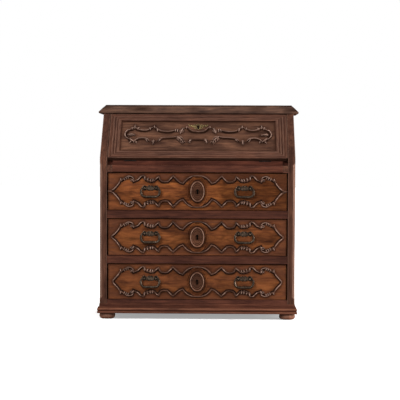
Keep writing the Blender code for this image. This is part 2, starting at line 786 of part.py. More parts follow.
def hinge_recess(name, across, side):
    """Cuts for a hinge leaf and its knuckles, about the hinge line; side is -1 for the desk."""
    half = HINGE_LENGTH / 2 + SEAT
    wide = half + KNUCKLE_CLEARANCE
    knuckle = KNUCKLE_RADIUS + KNUCKLE_CLEARANCE
    leaf = sorted((-side * HINGE_LEAF, side * (HINGE_LEAF + SEAT)))
    reach = HINGE_LEAF_WIDTH + SEAT
    return (
        box_mesh(f"{name}_leaf", (across - half, 0.0, leaf[0]), (across + half, reach, leaf[1])),
        box_mesh(f"{name}_barrel", (across - wide, -knuckle, -knuckle), (across + wide, knuckle, knuckle)),
    )


def hinge_leaf(name, across, side, parent):
    """One leaf of a hinge with its barrel, before the knuckles are parted."""
    half = HINGE_LENGTH / 2
    face = sorted((0.0, side * HINGE_LEAF))
    leaf = box(name, (across - half, 0.0, face[0]), (across + half, HINGE_LEAF_WIDTH, face[1]), parent, IRON)
    fuse(leaf, rod_mesh(f"{name}_barrel", KNUCKLE_RADIUS, across - half, across + half, ALONG))
    return leaf


def build_hinges(desk_line, flap):
    """Two hinges: the desk leaf holds the pin and the outer knuckles, the flap leaf the middle one."""
    half = HINGE_LENGTH / 2
    middle = HINGE_LENGTH / 6
    knuckle = KNUCKLE_RADIUS + KNUCKLE_CLEARANCE
    for label, across in hinge_places():
        fixed = hinge_leaf(f"desk_hinge_{label}", across, -1, desk_line)
        gap = (across - middle - SEAT, across + middle + SEAT)
        low = (gap[0], -knuckle, -knuckle)
        cut(fixed, box_mesh(f"desk_hinge_{label}_gap", low, (gap[1], knuckle, knuckle)))
        fuse(fixed, rod_mesh(f"desk_hinge_{label}_pin", PIN_RADIUS, across - half, across + half, ALONG))
        moving = hinge_leaf(f"flap_hinge_{label}", across, 1, flap)
        for end, near, far in (("a", -middle, -half - SEAT), ("b", middle, half + SEAT)):
            edges = sorted((across + near, across + far))
            low = (edges[0], -knuckle, -knuckle)
            high = (edges[1], knuckle, knuckle)
            cut(moving, box_mesh(f"flap_hinge_{label}_gap_{end}", low, high))
        bore = rod_mesh(f"flap_hinge_{label}_bore", PIN_RADIUS + SEAT, across - half, across + half, ALONG)
        cut(moving, bore)


def flap_keyhole_up():
    """Place of the flap's keyhole up the slope: midway between the carving and the top rail."""
    middle, half = carving_place()
    above = middle + CARVING_MIDDLE_SHARE * half + CARTOUCHE_WIDTH / 2
    return (above + FLAP_LENGTH - FLAP_TOP_RAIL) / 2


def carving_place():
    """Middle and half height of the flap's carving, up the slope."""
    low = FLAP_BOTTOM_RAIL + CARVING_EDGE_MARGIN
    high = FLAP_LENGTH - FLAP_TOP_RAIL - CARVING_EDGE_MARGIN
    return (low + high) / 2, (high - low) / 2


def build_flap(flap):
    """Flap frame, panel, carving and escutcheon, in the flap's own frame."""
    half = INNER - FLAP_SIDE_CLEARANCE
    inside = half - FLAP_STILE
    low = FLAP_BOTTOM_RAIL
    high = FLAP_LENGTH - FLAP_TOP_RAIL
    frame = box("flap_frame", (-half, 0.0, 0.0), (half, FLAP_LENGTH, FLAP_THICKNESS), flap, WALNUT)
    window_high = 2 * FLAP_THICKNESS
    cut(frame, box_mesh("flap_window", (-inside, low, -FLAP_THICKNESS), (inside, high, window_high)))
    for label, across in hinge_places():
        for mesh in hinge_recess(f"flap_recess_{label}", across, 1):
            cut(frame, mesh)
    panel = box(
        "flap_panel",
        (-inside + SEAT, low + SEAT, 0.0),
        (inside - SEAT, high - SEAT, PANEL_THICKNESS),
        flap,
        WALNUT,
    )
    key_up = flap_keyhole_up()
    pocket_half = LOCK_WIDTH / 2 + SEAT
    for piece in (frame, panel):
        pocket = box_mesh(
            f"{piece.name}_lock_pocket",
            (-pocket_half, key_up - LOCK_BELOW_KEY - SEAT, -LOCK_DEPTH),
            (pocket_half, FLAP_LENGTH + LOCK_DEPTH, LOCK_DEPTH + SEAT),
        )
        cut(piece, pocket)
    plate_face = PANEL_THICKNESS + SEAT
    outline = mirrored(ESCUTCHEON_OUTLINE, ESCUTCHEON_HALF_WIDTH, ESCUTCHEON_HALF_HEIGHT)
    outline = [(across, up + key_up) for across, up in outline]
    mesh = slab_mesh("flap_escutcheon", outline, plate_face, plate_face + ESCUTCHEON_THICKNESS, Matrix())
    plate = place("flap_escutcheon", mesh, flap, BRASS)
    hole_high = PANEL_THICKNESS + FLAP_THICKNESS
    for piece in (panel, plate):
        name = f"{piece.name}_keyhole"
        cut(piece, slab_mesh(name, keyhole_outline(key_up), -FLAP_THICKNESS, hole_high, Matrix()))
    build_carving(flap, inside)
    build_lock("flap", flap, Matrix(), FLAP_LENGTH, key_up)


def build_carving(flap, panel_half):
    """The long carved cartouche on the flap's panel, with a straight bay under the escutcheon."""
    middle, half_height = carving_place()
    half_length = panel_half - CARVING_END_MARGIN
    span = half_length - CARVING_BAY
    quarter = []
    for share_x, share_y, bow, steps in CARVING:
        point = Vector((CARVING_BAY + share_x * span, share_y * half_height))
        quarter.append((point, bow * half_height, steps))
    neck = Vector((CARVING_NECK_SHARE * CARVING_BAY, CARVING_MIDDLE_SHARE * half_height))
    centre = Vector((0.0, CARVING_MIDDLE_SHARE * half_height))
    quarter += [(neck, 0.0, 1), (centre, 0.0, 1)]
    mesh = moulding_mesh("flap_carving", ornament_path(quarter), relief_profile())
    mesh.transform(Matrix.Translation((0.0, middle, PANEL_THICKNESS)))
    place("flap_carving", mesh, flap, CARVED)


def build_lock(prefix, carrier, frame, top, key_up):
    """A lock case with a channel for its bolt, and the bolt drawn back into it.

    The frame has x across, y towards the bolt's throw and z into the lock from its face.
    """
    half = LOCK_WIDTH / 2
    case_top = top - LOCK_TOP_GAP
    name = f"{prefix}_lock"
    mesh = box_mesh(name, (-half, key_up - LOCK_BELOW_KEY, 0.0), (half, case_top, LOCK_DEPTH))
    mesh.transform(frame)
    case = place(name, mesh, carrier, IRON)
    bolt_half = BOLT_WIDTH / 2
    face = (LOCK_DEPTH - BOLT_THICKNESS) / 2
    channel = box_mesh(
        f"{name}_channel",
        (-bolt_half - BOLT_RUN, case_top - BOLT_LENGTH - SEAT, face - BOLT_RUN),
        (bolt_half + BOLT_RUN, top + BOLT_LENGTH, face + BOLT_THICKNESS + BOLT_RUN),
    )
    channel.transform(frame)
    cut(case, channel)
    keyway = slab_mesh(f"{name}_keyway", keyhole_outline(key_up), -LOCK_DEPTH, LOCK_DEPTH * 2, Matrix())
    keyway.transform(frame)
    cut(case, keyway)
    name = f"{prefix}_bolt"
    mesh = box_mesh(
        name,
        (-bolt_half, case_top - BOLT_LENGTH, face),
        (bolt_half, case_top, face + BOLT_THICKNESS),
    )
    mesh.transform(frame)
    place(name, mesh, carrier, IRON)


def build_lopers(root):
    """Two sliding bearers that carry the open flap."""
    low = Z_TOP_RAIL + LOPER_LEDGE + SEAT
    for name, side in (("loper_left", -1), ("loper_right", 1)):
        outer = INNER - LOPER_CLEARANCE
        edges = sorted((side * outer, side * (outer - LOPER_WIDTH)))
        back = BACK_FACE - LOPER_BACK_SPACE
        box(name, (edges[0], RAIL_RECESS, low), (edges[1], back, low + LOPER_HEIGHT), root, WALNUT)


def open_box(name, low, high, wall, parent, material, open_front):
    """A thin-walled box with no lid, and with no front where a drawer front closes it."""
    bm = bmesh.new()
    bm.from_mesh(box_mesh(name, low, high))
    gone = [face for face in bm.faces if face.normal.z > 0.5 or (open_front and face.normal.y < -0.5)]
    bmesh.ops.delete(bm, geom=gone, context="FACES")
    obj = place(name, to_mesh(bm, name), parent, material)
    shell = obj.modifiers.new("walls", "SOLIDIFY")
    shell.thickness = wall
    shell.offset = -1.0
    shell.use_even_offset = True
    return obj


def build_gallery(root):
    """Pigeonholes on a shelf, over two bays for small drawers and an open bay between them."""
    half = INNER - SEAT
    shelf = Z_DESK + SMALL_DRAWER_HEIGHT + 2 * DRAWER_CLEARANCE
    under = Z_DESK + SEAT
    upper = Z_TOP_UNDER
    bay_half = INNER - GALLERY_BAY
    outline = [(-half, shelf)]
    for middle in (-bay_half, bay_half):
        left = middle - GALLERY_BOARD / 2
        right = middle + GALLERY_BOARD / 2
        outline += [(left, shelf), (left, under), (right, under), (right, shelf)]
    deck = shelf + GALLERY_BOARD
    outline += [(half, shelf), (half, deck)]
    for number in range(PIGEONHOLES - 1, 0, -1):
        middle = half * (2 * number / PIGEONHOLES - 1)
        left = middle - GALLERY_BOARD / 2
        right = middle + GALLERY_BOARD / 2
        outline += [(right, deck), (right, upper), (left, upper), (left, deck)]
    outline.append((-half, deck))
    mesh = slab_mesh("gallery", outline, -(BACK_FACE - SEAT), -GALLERY_FRONT, FACING)
    place("gallery", mesh, root, WALNUT)


def knob_mesh(name):
    """A small turned knob that points towards the viewer, its foot sunk in the drawer front."""
    profile = [(share * KNOB_RADIUS, out * KNOB_REACH) for share, out in KNOB_SECTION]
    mesh = lathe_mesh(name, profile, PIN_SIDES)
    mesh.transform(FACING)
    return mesh


def build_small_drawers(root):
    """Two small drawers under the pigeonholes, each with a turned knob."""
    outer = INNER - DRAWER_CLEARANCE
    inner = INNER - GALLERY_BAY + GALLERY_BOARD / 2 + DRAWER_CLEARANCE
    low = Z_DESK + SEAT
    back = BACK_FACE - SMALL_DRAWER_BACK_SPACE
    for name, side in (("small_drawer_left", -1), ("small_drawer_right", 1)):
        edges = sorted((side * outer, side * inner))
        corner = (edges[1], back, Z_DESK + SMALL_DRAWER_HEIGHT)
        drawer = open_box(name, (edges[0], GALLERY_FRONT, low), corner, SMALL_DRAWER_WALL, root, PINE, False)
        knob = knob_mesh(f"{name}_knob")
        middle = ((edges[0] + edges[1]) / 2, GALLERY_FRONT, Z_DESK + SMALL_DRAWER_HEIGHT / 2)
        knob.transform(Matrix.Translation(middle))
        fuse(drawer, knob)


def boss_mesh(name, half_height):
    """An oval keyhole boss: a rounded rim round a hollowed field."""
    profile = [(share, SEAT + up * BOSS_HEIGHT) for share, up in BOSS_SECTION]
    mesh = lathe_mesh(name, profile, BOSS_STEPS)
    mesh.transform(FACING @ Matrix.Diagonal((BOSS_HALF_WIDTH, half_height, 1.0, 1.0)))
    return mesh


def build_drawer(name, low, high, root):
    """A long drawer: front, box, cartouche, keyhole boss, lock and two drop handles."""
    carrier = empty(f"{name}_carrier", (0.0, FRONT_RECESS, (low + high) / 2), root)
    half_height = (high - low) / 2 - DRAWER_CLEARANCE
    half_width = INNER - DRAWER_SIDE_CLEARANCE
    front_name = f"{name}_front"
    front = box(
        front_name,
        (-half_width, 0.0, -half_height),
        (half_width, FRONT_THICKNESS, half_height),
        carrier,
        FIGURED,
    )
    bed = -half_height - DRAWER_CLEARANCE + SEAT
    rear = BACK_FACE - DRAWER_BACK_SPACE - FRONT_RECESS
    open_box(
        f"{name}_box",
        (-half_width, FRONT_THICKNESS + SEAT, bed),
        (half_width, rear, half_height - DRAWER_WALL_DROP),
        DRAWER_WALL,
        carrier,
        PINE,
        True,
    )
    rise = half_height - CARTOUCHE_EDGE_MARGIN
    reach = half_width - CARTOUCHE_END_MARGIN
    quarter = [(Vector((x * reach, z * rise)), bow * rise, steps) for x, z, bow, steps in CARTOUCHE]
    mesh = moulding_mesh(f"{name}_cartouche", ornament_path(quarter), relief_profile())
    mesh.transform(FACING)
    place(f"{name}_cartouche", mesh, carrier, CARVED)
    boss_name = f"{name}_keyhole_boss"
    boss_half = rise - CARTOUCHE_WIDTH / 2 - BOSS_CLEARANCE
    boss = place(boss_name, boss_mesh(boss_name, boss_half), carrier, CARVED)
    key_up = KEYHOLE_DROP / 2
    for piece in (front, boss):
        depth = 2 * FRONT_THICKNESS
        cut(piece, slab_mesh(f"{piece.name}_keyhole", keyhole_outline(key_up), -depth, depth, FACING))
    behind = Matrix.Translation((0.0, FRONT_THICKNESS + SEAT, 0.0)) @ FACING_BACK
    build_lock(name, carrier, behind, half_height, key_up)
    for label, side in (("left", -1), ("right", 1)):
        build_handle(name, label, side * (half_width - HANDLE_INSET), carrier)


def post_profile():
    """Outer side of a handle post, from its ball end down to its foot inside the plate."""
    foot = SEAT + PLATE_THICKNESS / 2
    rose = SEAT + PLATE_THICKNESS + POST_NECK / 4
    ball_steps = 4
    neck_angle = math.pi - math.asin(POST_NECK / POST_BALL)
    profile = []
    for step in range(ball_steps + 1):
        angle = neck_angle * step / ball_steps
        profile.append((POST_BALL * math.sin(angle), BAIL_STANDOFF + POST_BALL * math.cos(angle)))
    profile += [(POST_NECK, rose + POST_NECK / 4), (POST_ROSE, rose), (POST_ROSE, foot), (0.0, foot)]
    return profile


def build_handle(prefix, label, across, carrier):
    """A shaped back plate with two bored posts, and the bail that hangs in them."""
    name = f"{prefix}_plate_{label}"
    outline = mirrored(PLATE_OUTLINE, PLATE_HALF_WIDTH, PLATE_HALF_HEIGHT)
    middle = Matrix.Translation((across, 0.0, HANDLE_RISE))
    mesh = slab_mesh(name, outline, SEAT, SEAT + PLATE_THICKNESS, FACING)
    mesh.transform(middle)
    plate = place(name, mesh, carrier, BRONZE)
    half = POST_SPACING / 2
    for end, offset in (("a", -half), ("b", half)):
        post = lathe_mesh(f"{name}_post_{end}", post_profile(), PIN_SIDES)
        post.transform(middle @ Matrix.Translation((offset, 0.0, 0.0)) @ FACING)
        fuse(plate, post)
    bore_radius = BAIL_PIN + BAIL_BORE_CLEARANCE
    bore = rod_mesh(f"{name}_bore", bore_radius, -PLATE_HALF_WIDTH, PLATE_HALF_WIDTH, ALONG)
    bore.transform(middle @ Matrix.Translation((0.0, -BAIL_STANDOFF, 0.0)))
    cut(plate, bore)
    place(
        f"{prefix}_bail_{label}",
        bail_curve(f"{prefix}_bail_{label}"),
        carrier,
        BRONZE,
        (across, -BAIL_STANDOFF, HANDLE_RISE),
    )


def bail_curve(name):
    """The wire of a bail: straight pins into the posts, bowed arms and a thicker grip."""
    half = POST_SPACING / 2
    right = [(half - BAIL_PIN_INSIDE, 0.0, 0.0), (half + BAIL_PIN_OUTSIDE, 0.0, 0.0)]
    right += [(x * BAIL_HALF_WIDTH, -z * BAIL_DROP, swell) for x, z, swell in BAIL_POINTS]
    points = right + [(0.0, -BAIL_DROP, 1.0)]
    points += [(-x, z, swell) for x, z, swell in reversed(right)]
    curve = bpy.data.curves.new(name, "CURVE")
    curve.dimensions = "3D"
    curve.bevel_depth = BAIL_PIN
    curve.bevel_resolution = 2
    curve.resolution_u = 2
    curve.use_fill_caps = True
    spline = curve.splines.new("BEZIER")
    spline.bezier_points.add(len(points) - 1)
    last = len(points) - 1
    pins = (0, 1, last - 1, last)
    for index, (knot, (across, up, swell)) in enumerate(zip(spline.bezier_points, points)):
        knot.co = (across, 0.0, up)
        knot.radius = 1.0 + swell * (BAIL_GRIP / BAIL_PIN - 1.0)
        handle = "VECTOR" if index in pins else "AUTO"
        knot.handle_left_type = handle
        knot.handle_right_type = handle
    return curve


def main():
    """Builds the bureau from the floor up."""
    root = empty("bureau", (0.0, ORIGIN_SHIFT, 0.0))
    desk_line = empty("desk_hinge_line", (0.0, HINGE_SETBACK, Z_DESK), root)
    flap = empty("flap_carrier", (0.0, HINGE_SETBACK, Z_DESK), root, FLAP_SLOPE)
    build_base(root)
    build_feet(root)
    build_sides(root)
    build_boards(root)
    build_rails(root)
    build_top_rail(root)
    build_top(root)
    build_stop(root, flap)
    build_gallery(root)
    build_small_drawers(root)
    build_hinges(desk_line, flap)
    build_flap(flap)
    build_lopers(root)
    build_drawer("bottom_drawer", Z_BOTTOM_OPENING, Z_LOWER_RAIL, root)
    build_drawer("middle_drawer", Z_MIDDLE_OPENING, Z_UPPER_RAIL, root)
    build_drawer("top_drawer", Z_TOP_OPENING, Z_TOP_RAIL, root)


main()
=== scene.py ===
"""Looks of the slant-front writing bureau: carved walnut, drop handles, fitted desk and studio.

Every piece is built in metres in the frame's own place. Flat work, such as a carving, is drawn on a
sheet whose x runs across, whose y runs up and whose z stands out of the face, and is then laid on its
drawer front or on the sloping flap by that face's matrix.
"""

import json
import logging
import math
from dataclasses import dataclass, field, replace
from enum import Enum
from typing import Iterable, NamedTuple, Sequence

import bmesh
import bpy
from mathutils import Matrix, Vector, kdtree, noise


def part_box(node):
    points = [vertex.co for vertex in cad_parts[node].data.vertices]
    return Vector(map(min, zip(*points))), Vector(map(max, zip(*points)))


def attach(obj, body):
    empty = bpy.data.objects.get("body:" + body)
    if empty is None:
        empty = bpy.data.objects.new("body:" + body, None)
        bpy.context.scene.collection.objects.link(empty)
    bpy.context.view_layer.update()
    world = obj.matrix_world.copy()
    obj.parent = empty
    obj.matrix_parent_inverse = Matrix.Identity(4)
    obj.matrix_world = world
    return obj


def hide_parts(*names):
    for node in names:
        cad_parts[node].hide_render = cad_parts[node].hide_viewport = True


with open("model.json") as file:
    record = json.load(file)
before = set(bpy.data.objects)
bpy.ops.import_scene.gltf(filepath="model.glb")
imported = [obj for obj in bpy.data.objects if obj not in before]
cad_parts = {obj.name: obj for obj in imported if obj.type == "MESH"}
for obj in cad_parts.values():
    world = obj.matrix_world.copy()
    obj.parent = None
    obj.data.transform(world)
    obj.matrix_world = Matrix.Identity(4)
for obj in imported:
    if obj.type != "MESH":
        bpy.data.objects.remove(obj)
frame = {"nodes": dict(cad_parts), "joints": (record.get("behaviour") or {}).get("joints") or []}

LOG = logging.getLogger("bureau")
SHARP_ANGLE = math.radians(42.0)
QUARTER_TURN = math.pi / 2
TINY = 1e-6
SEAT = 0.0003
LOPER_PLAY = 0.0005
Colour = tuple[float, float, float]
Rows = tuple[tuple[float, ...], ...]
Strokes = tuple[tuple[float, float, Rows], ...]
WHITE: Colour = (1.0, 1.0, 1.0)


class Station(NamedTuple):
    """One point of a section: offset, height, its wear and painted highlight, and its grime and painted shade.
    """

    out: float
    up: float
    wear: float = 0.0
    dirt: float = 0.0


def stations(*rows: tuple[float, ...], size: float = 1.0) -> tuple[Station, ...]:
    """Makes a section from rows of (out, up, wear and painted highlight, grime and painted shade), with out as a
    share of the size.
    """
    return tuple(Station(out * size, *rest) for out, *rest in rows)


class Grain(Enum):
    """The way that a board's fibres run: its axis, and whether it leans with the flap."""

    ACROSS = (0, False)
    DEEP = (1, False)
    UPRIGHT = (2, False)
    UP_SLOPE = (1, True)


def joint_named(name: str) -> dict:
    """Finds one joint of the frame.

    Args:
        name: The joint's name.

    Returns:
        The joint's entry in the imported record.
    """
    return next(joint for joint in frame["joints"] if joint["name"] == name)


FLAP_HINGE = joint_named("flap_hinge")
FLAP_SLOPE = math.pi - math.radians(FLAP_HINGE["range_deg"][1])
FLAP_FACE = Matrix.Translation(FLAP_HINGE["pos_m"]) @ Matrix.Rotation(FLAP_SLOPE, 4, "X")
UPRIGHT_FACE = Matrix.Rotation(QUARTER_TURN, 4, "X")
LAID_ALONG = Matrix.Rotation(QUARTER_TURN, 4, "Y")


def box_in(node: str, face: Matrix) -> tuple[Vector, Vector]:
    """Measures a node of the frame on a leaning sheet.

    Args:
        node: The node's name.
        face: The matrix that lays the sheet in place.

    Returns:
        The node's lowest and highest corners in the sheet's own axes.
    """
    back = face.inverted()
    points = [back @ vert.co for vert in frame["nodes"][node].data.vertices]
    low = Vector(min(point[axis] for point in points) for axis in range(3))
    high = Vector(max(point[axis] for point in points) for axis in range(3))
    return low, high


class Wiring:
    """Short-hand for wiring the nodes of one node tree."""

    def __init__(self, tree: bpy.types.NodeTree) -> None:
        """Keeps the tree."""
        self.tree = tree

    def feed(self, socket: bpy.types.NodeSocket, value: object) -> None:
        """Links a socket to another one, or sets its value where a plain value is given."""
        if isinstance(value, bpy.types.NodeSocket):
            self.tree.links.new(value, socket)
        elif isinstance(value, tuple) and len(value) == 3 and socket.type == "RGBA":
            socket.default_value = (*value, 1.0)
        else:
            socket.default_value = value

    def fill(self, node: bpy.types.Node, inputs: dict) -> None:
        """Feeds several inputs of a node, each by its name or its number."""
        for key, value in inputs.items():
            self.feed(node.inputs[key], value)

    def add(self, kind: str, inputs: dict | None = None, **settings: object) -> bpy.types.Node:
        """Adds a node.

        Args:
            kind: Blender's name for the node.
            inputs: What feeds its inputs, by name or number.
            **settings: Properties to set on it.

        Returns:
            The new node.
        """
        node = self.tree.nodes.new(kind)
        for key, value in settings.items():
            setattr(node, key, value)
        self.fill(node, inputs or {})
        return node


class Graph(Wiring):
    """The wiring of one material, from its coordinates to its shader."""

    def __init__(self, name: str) -> None:
        """Starts a material."""
        self.material = bpy.data.materials.new(name)
        self.material.use_nodes = True
        super().__init__(self.material.node_tree)
        self.shader = self.tree.nodes["Principled BSDF"]
        self.coords = self.add("ShaderNodeTexCoord").outputs["Object"]

    def noise(self, grain: Grain, along: float, across: float, detail: float, twist: float = 0.0) -> object:
        """Adds noise drawn out along the grain.

        Args:
            grain: The way that the fibres run.
            along: Features to the metre along the grain.
            across: Features to the metre across it.
            detail: Octaves of finer noise.
            twist: How far the noise is distorted.

        Returns:
            The noise's value socket.
        """
        axis, leans = grain.value
        sizes = [1.0 / across] * 3
        sizes[axis] = 1.0 / along
        lean = (FLAP_SLOPE if leans else 0.0, 0.0, 0.0)
        layout = {"Vector": self.coords, "Scale": sizes, "Rotation": lean}
        place = self.add("ShaderNodeMapping", layout, vector_type="TEXTURE").outputs["Vector"]
        pattern = {"Vector": place, "Scale": 1.0, "Detail": detail, "Distortion": twist}
        return self.add("ShaderNodeTexNoise", pattern).outputs["Fac"]

    def ramp(self, value: object, stops: Sequence[tuple[float, Colour]]) -> object:
        """Turns a value into colours.

        Args:
            value: The socket to read.
            stops: Places between 0 and 1 with their colours.

        Returns:
            The colour socket.
        """
        node = self.add("ShaderNodeValToRGB", {"Fac": value})
        elements = node.color_ramp.elements
        while len(elements) < len(stops):
            elements.new(0.5)
        for element, (place, colour) in zip(elements, stops):
            element.position = place
            element.color = (*colour, 1.0)
        return node.outputs["Color"]

    def mix(self, share: object, first: object, second: object, blend: str = "MIX") -> object:
        """Mixes two colours.

        Args:
            share: How much of the second colour shows.
            first: The colour beneath.
            second: The colour laid over it.
            blend: How the second is laid on.

        Returns:
            The colour socket.
        """
        inputs = {0: share, 6: first, 7: second}
        return self.add("ShaderNodeMix", inputs, data_type="RGBA", blend_type=blend).outputs[2]

    def span(self, value: object, low: float, high: float, to_low: float, to_high: float) -> object:
        """Stretches a value from one range to another, kept inside it.

        Args:
            value: The socket to read.
            low: The lowest value in.
            high: The highest value in.
            to_low: What the lowest becomes.
            to_high: What the highest becomes.

        Returns:
            The value socket.
        """
        inputs = {"Value": value, "From Min": low, "From Max": high, "To Min": to_low, "To Max": to_high}
        return self.add("ShaderNodeMapRange", inputs).outputs["Result"]

    def scale_add(self, value: object, factor: object, offset: object) -> object:
        """Scales a value and adds another to it.

        Args:
            value: The value.
            factor: What it is multiplied by.
            offset: What is added.

        Returns:
            The value socket.
        """
        inputs = {0: value, 1: factor, 2: offset}
        return self.add("ShaderNodeMath", inputs, operation="MULTIPLY_ADD").outputs["Value"]

    def mark(self, name: str) -> object:
        """Reads a mark of the mesh by its name: wear with painted highlight, and grime with painted shade."""
        return self.add("ShaderNodeAttribute", attribute_name=name).outputs["Fac"]

    def bump(self, height: object, strength: float, distance: float) -> None:
        """Roughens the surface by a height."""
        inputs = {"Strength": strength, "Distance": distance, "Height": height}
        self.fill(self.shader, {"Normal": self.add("ShaderNodeBump", inputs).outputs["Normal"]})


@dataclass(frozen=True)
class Finish:
    """A finish, whose material is made at its first use."""

    name: str
    slot: str

    def material(self) -> bpy.types.Material:
        """Gives the finish's material.

        Returns:
            The material, made now unless it was made before.
        """
        made = bpy.data.materials.get(self.name)
        if made:
            return made
        graph = Graph(self.name)
        self.dress(graph)
        return graph.material

    def dress(self, graph: Graph) -> None:
        """Wires the finish, which each kind does in its own way."""
        raise NotImplementedError


@dataclass(frozen=True)
class Wood(Finish):
    """A waxed timber finish: its colours from dark to light, its grain, and how far its pale wear and painted
    highlight show.
    """

    dark: Colour
    mid: Colour
    light: Colour
    worn_and_lit: Colour
    grime_and_shade: Colour
    grain: Grain
    roughness: float = 0.55
    fibres: float = 620.0
    streaks: float = 120.0
    bands: float = 26.0
    clouds: tuple[float, float] = (6.0, 11.0)
    mottle: float = 0.30
    worn_and_lit_share: float = 0.75

    def dress(self, graph: Graph) -> None:
        """Wires the figure and its pores, the clouds of tone, the wear with painted highlight and the grime with
        painted shade.
        """
        fibre = graph.noise(self.grain, self.fibres / 24, self.fibres, 4.0, 0.5)
        streak = graph.noise(self.grain, self.streaks / 11, self.streaks, 4.0, 1.0)
        band = graph.noise(self.grain, self.bands / 9, self.bands, 4.0, 1.6)
        cloud = graph.noise(self.grain, *self.clouds, 4.0, 0.6)
        pores = graph.noise(self.grain, 70.0, 1700.0, 2.0)
        fine = graph.scale_add(streak, 0.36, graph.scale_add(fibre, 0.22, 0.0))
        figure = graph.scale_add(band, 0.42, fine)
        colour = graph.ramp(figure, ((0.36, self.dark), (0.49, self.mid), (0.63, self.light)))
        pore_share = graph.span(pores, 0.56, 0.72, 0.0, 0.6)
        colour = graph.mix(pore_share, colour, self.dark)
        low, high = 1.0 - self.mottle, 1.0 + 0.6 * self.mottle
        dim, clear = (low, low * 1.02, low * 1.06), (high, high * 0.98, high * 0.92)
        colour = graph.mix(1.0, colour, graph.ramp(cloud, ((0.32, dim), (0.66, clear))), "MULTIPLY")
        pale_share = graph.span(streak, 0.36, 0.60, 0.25, self.worn_and_lit_share)
        # Turns pale where the wear mark is set: real wear, and a painted highlight on crests and arrises.
        colour = graph.mix(graph.scale_add(graph.mark("wear"), pale_share, 0.0), colour, self.worn_and_lit)
        cling = graph.span(fibre, 0.30, 0.65, 1.0, 0.75)
        dirt = graph.scale_add(graph.mark("dirt"), cling, 0.0)
        # Turns dark where the dirt mark is set: grime, and painted shade in hollows, gaps and under parts.
        colour = graph.mix(dirt, colour, self.grime_and_shade)
        polish = graph.span(fibre, 0.30, 0.70, self.roughness + 0.09, self.roughness - 0.07)
        rough = graph.scale_add(dirt, 0.25, polish)
        graph.fill(graph.shader, {"Base Color": colour, "Roughness": rough, "Specular IOR Level": 0.0})
        graph.bump(graph.scale_add(pore_share, -1.0, fibre), 0.30, 0.0005)


@dataclass(frozen=True)
class Metal(Finish):
    """A metal finish: its skin, the colour of its rubbed places and painted highlights, and the dark of its
    tarnish and painted shade.
    """

    skin: Colour
    bright: Colour
    tarnish_and_shade: Colour
    roughness: float
    pitting: float = 0.25

    def dress(self, graph: Graph) -> None:
        """Wires the patchy skin, the rubbed places with painted highlights, and the tarnish with painted shade.
        """
        patch = graph.noise(Grain.ACROSS, 130.0, 130.0, 4.0)
        speck = graph.noise(Grain.ACROSS, 900.0, 900.0, 3.0)
        colour = graph.ramp(patch, ((0.30, self.tarnish_and_shade), (0.50, self.skin), (0.74, self.bright)))
        pale_share = graph.span(speck, 0.34, 0.60, 0.30, 0.9)
        # Pale where the wear mark is set, a painted highlight on bails and rims; dark where the dirt mark is
        # set, tarnish and painted shade.
        colour = graph.mix(graph.scale_add(graph.mark("wear"), pale_share, 0.0), colour, self.bright)
        colour = graph.mix(graph.mark("dirt"), colour, self.tarnish_and_shade)
        rough = graph.span(patch, 0.28, 0.72, self.roughness + 0.16, self.roughness - 0.06)
        graph.fill(graph.shader, {"Base Color": colour, "Metallic": 1.0, "Roughness": rough})
        graph.bump(speck, self.pitting, 0.0004)


def tone_with_sheen(colour: Colour, tone: float, red: float, painted_sheen: float) -> Colour:
    """Tones a timber's colour and adds a flat grey over it: a painted sheen that stands in for the polish's
    reflection.

    Args:
        colour: The timber's usual colour.
        tone: How light the board is.
        red: How much redder it is than usual; below 0 it is less red.
        painted_sheen: How much grey the painted sheen adds.

    Returns:
        The colour of the board.
    """
    cool = tone * (1.0 - 0.35 * red)
    return (colour[0] * tone + painted_sheen, colour[1] * cool + painted_sheen, colour[2] * cool + painted_sheen)


def walnut(name: str, grain: Grain, tone: float = 1.0, red: float = 0.0, painted_sheen: float = 0.0065) -> Wood:
    """Makes the carcase's walnut with its fibres one way.

    Args:
        name: The finish's name.
        grain: The way that the fibres run.
        tone: How light the board is against the carcase's usual tone.
        red: How much redder it is; below 0 it is less red.
        painted_sheen: How much grey its painted sheen adds.

    Returns:
        The finish.
    """
    return Wood(
        name=name,
        slot="carcase_walnut",
        dark=tone_with_sheen((0.034, 0.0125, 0.0078), tone, red, painted_sheen),
        mid=tone_with_sheen((0.080, 0.0310, 0.0185), tone, red, painted_sheen),
        light=tone_with_sheen((0.128, 0.0520, 0.0300), tone, red, painted_sheen),
        worn_and_lit=(0.190, 0.108, 0.078),
        grime_and_shade=(0.0118, 0.0041, 0.0020),
        grain=grain,
    )


def figured(name: str, tone: float) -> Wood:
    """Makes the drawers' figured walnut.

    Args:
        name: The finish's name.
        tone: How light the drawer is.

    Returns:
        The finish.
    """
    return Wood(
        name=name,
        slot="figured_walnut",
        # The last figure, 0.0055, is the grey of a painted sheen over the figure.
        dark=tone_with_sheen((0.062, 0.0185, 0.0075), tone, 0.0, 0.0055),
        mid=tone_with_sheen((0.152, 0.0450, 0.0130), tone, 0.0, 0.0055),
        light=tone_with_sheen((0.256, 0.0830, 0.0215), tone, 0.0, 0.0055),
        worn_and_lit=(0.097, 0.0370, 0.0230),
        grime_and_shade=(0.0150, 0.0050, 0.0022),
        grain=Grain.ACROSS,
        bands=18.0,
        clouds=(13.0, 34.0),
        mottle=0.50,
        worn_and_lit_share=1.0,
    )


WALNUT_ACROSS = walnut("walnut_across", Grain.ACROSS, 1.0, 0.15)
WALNUT_UPRIGHT = walnut("walnut_upright", Grain.UPRIGHT, 0.88, 0.1)
WALNUT_DEEP = walnut("walnut_deep", Grain.DEEP)
WALNUT_SLOPE = walnut("walnut_up_slope", Grain.UP_SLOPE)
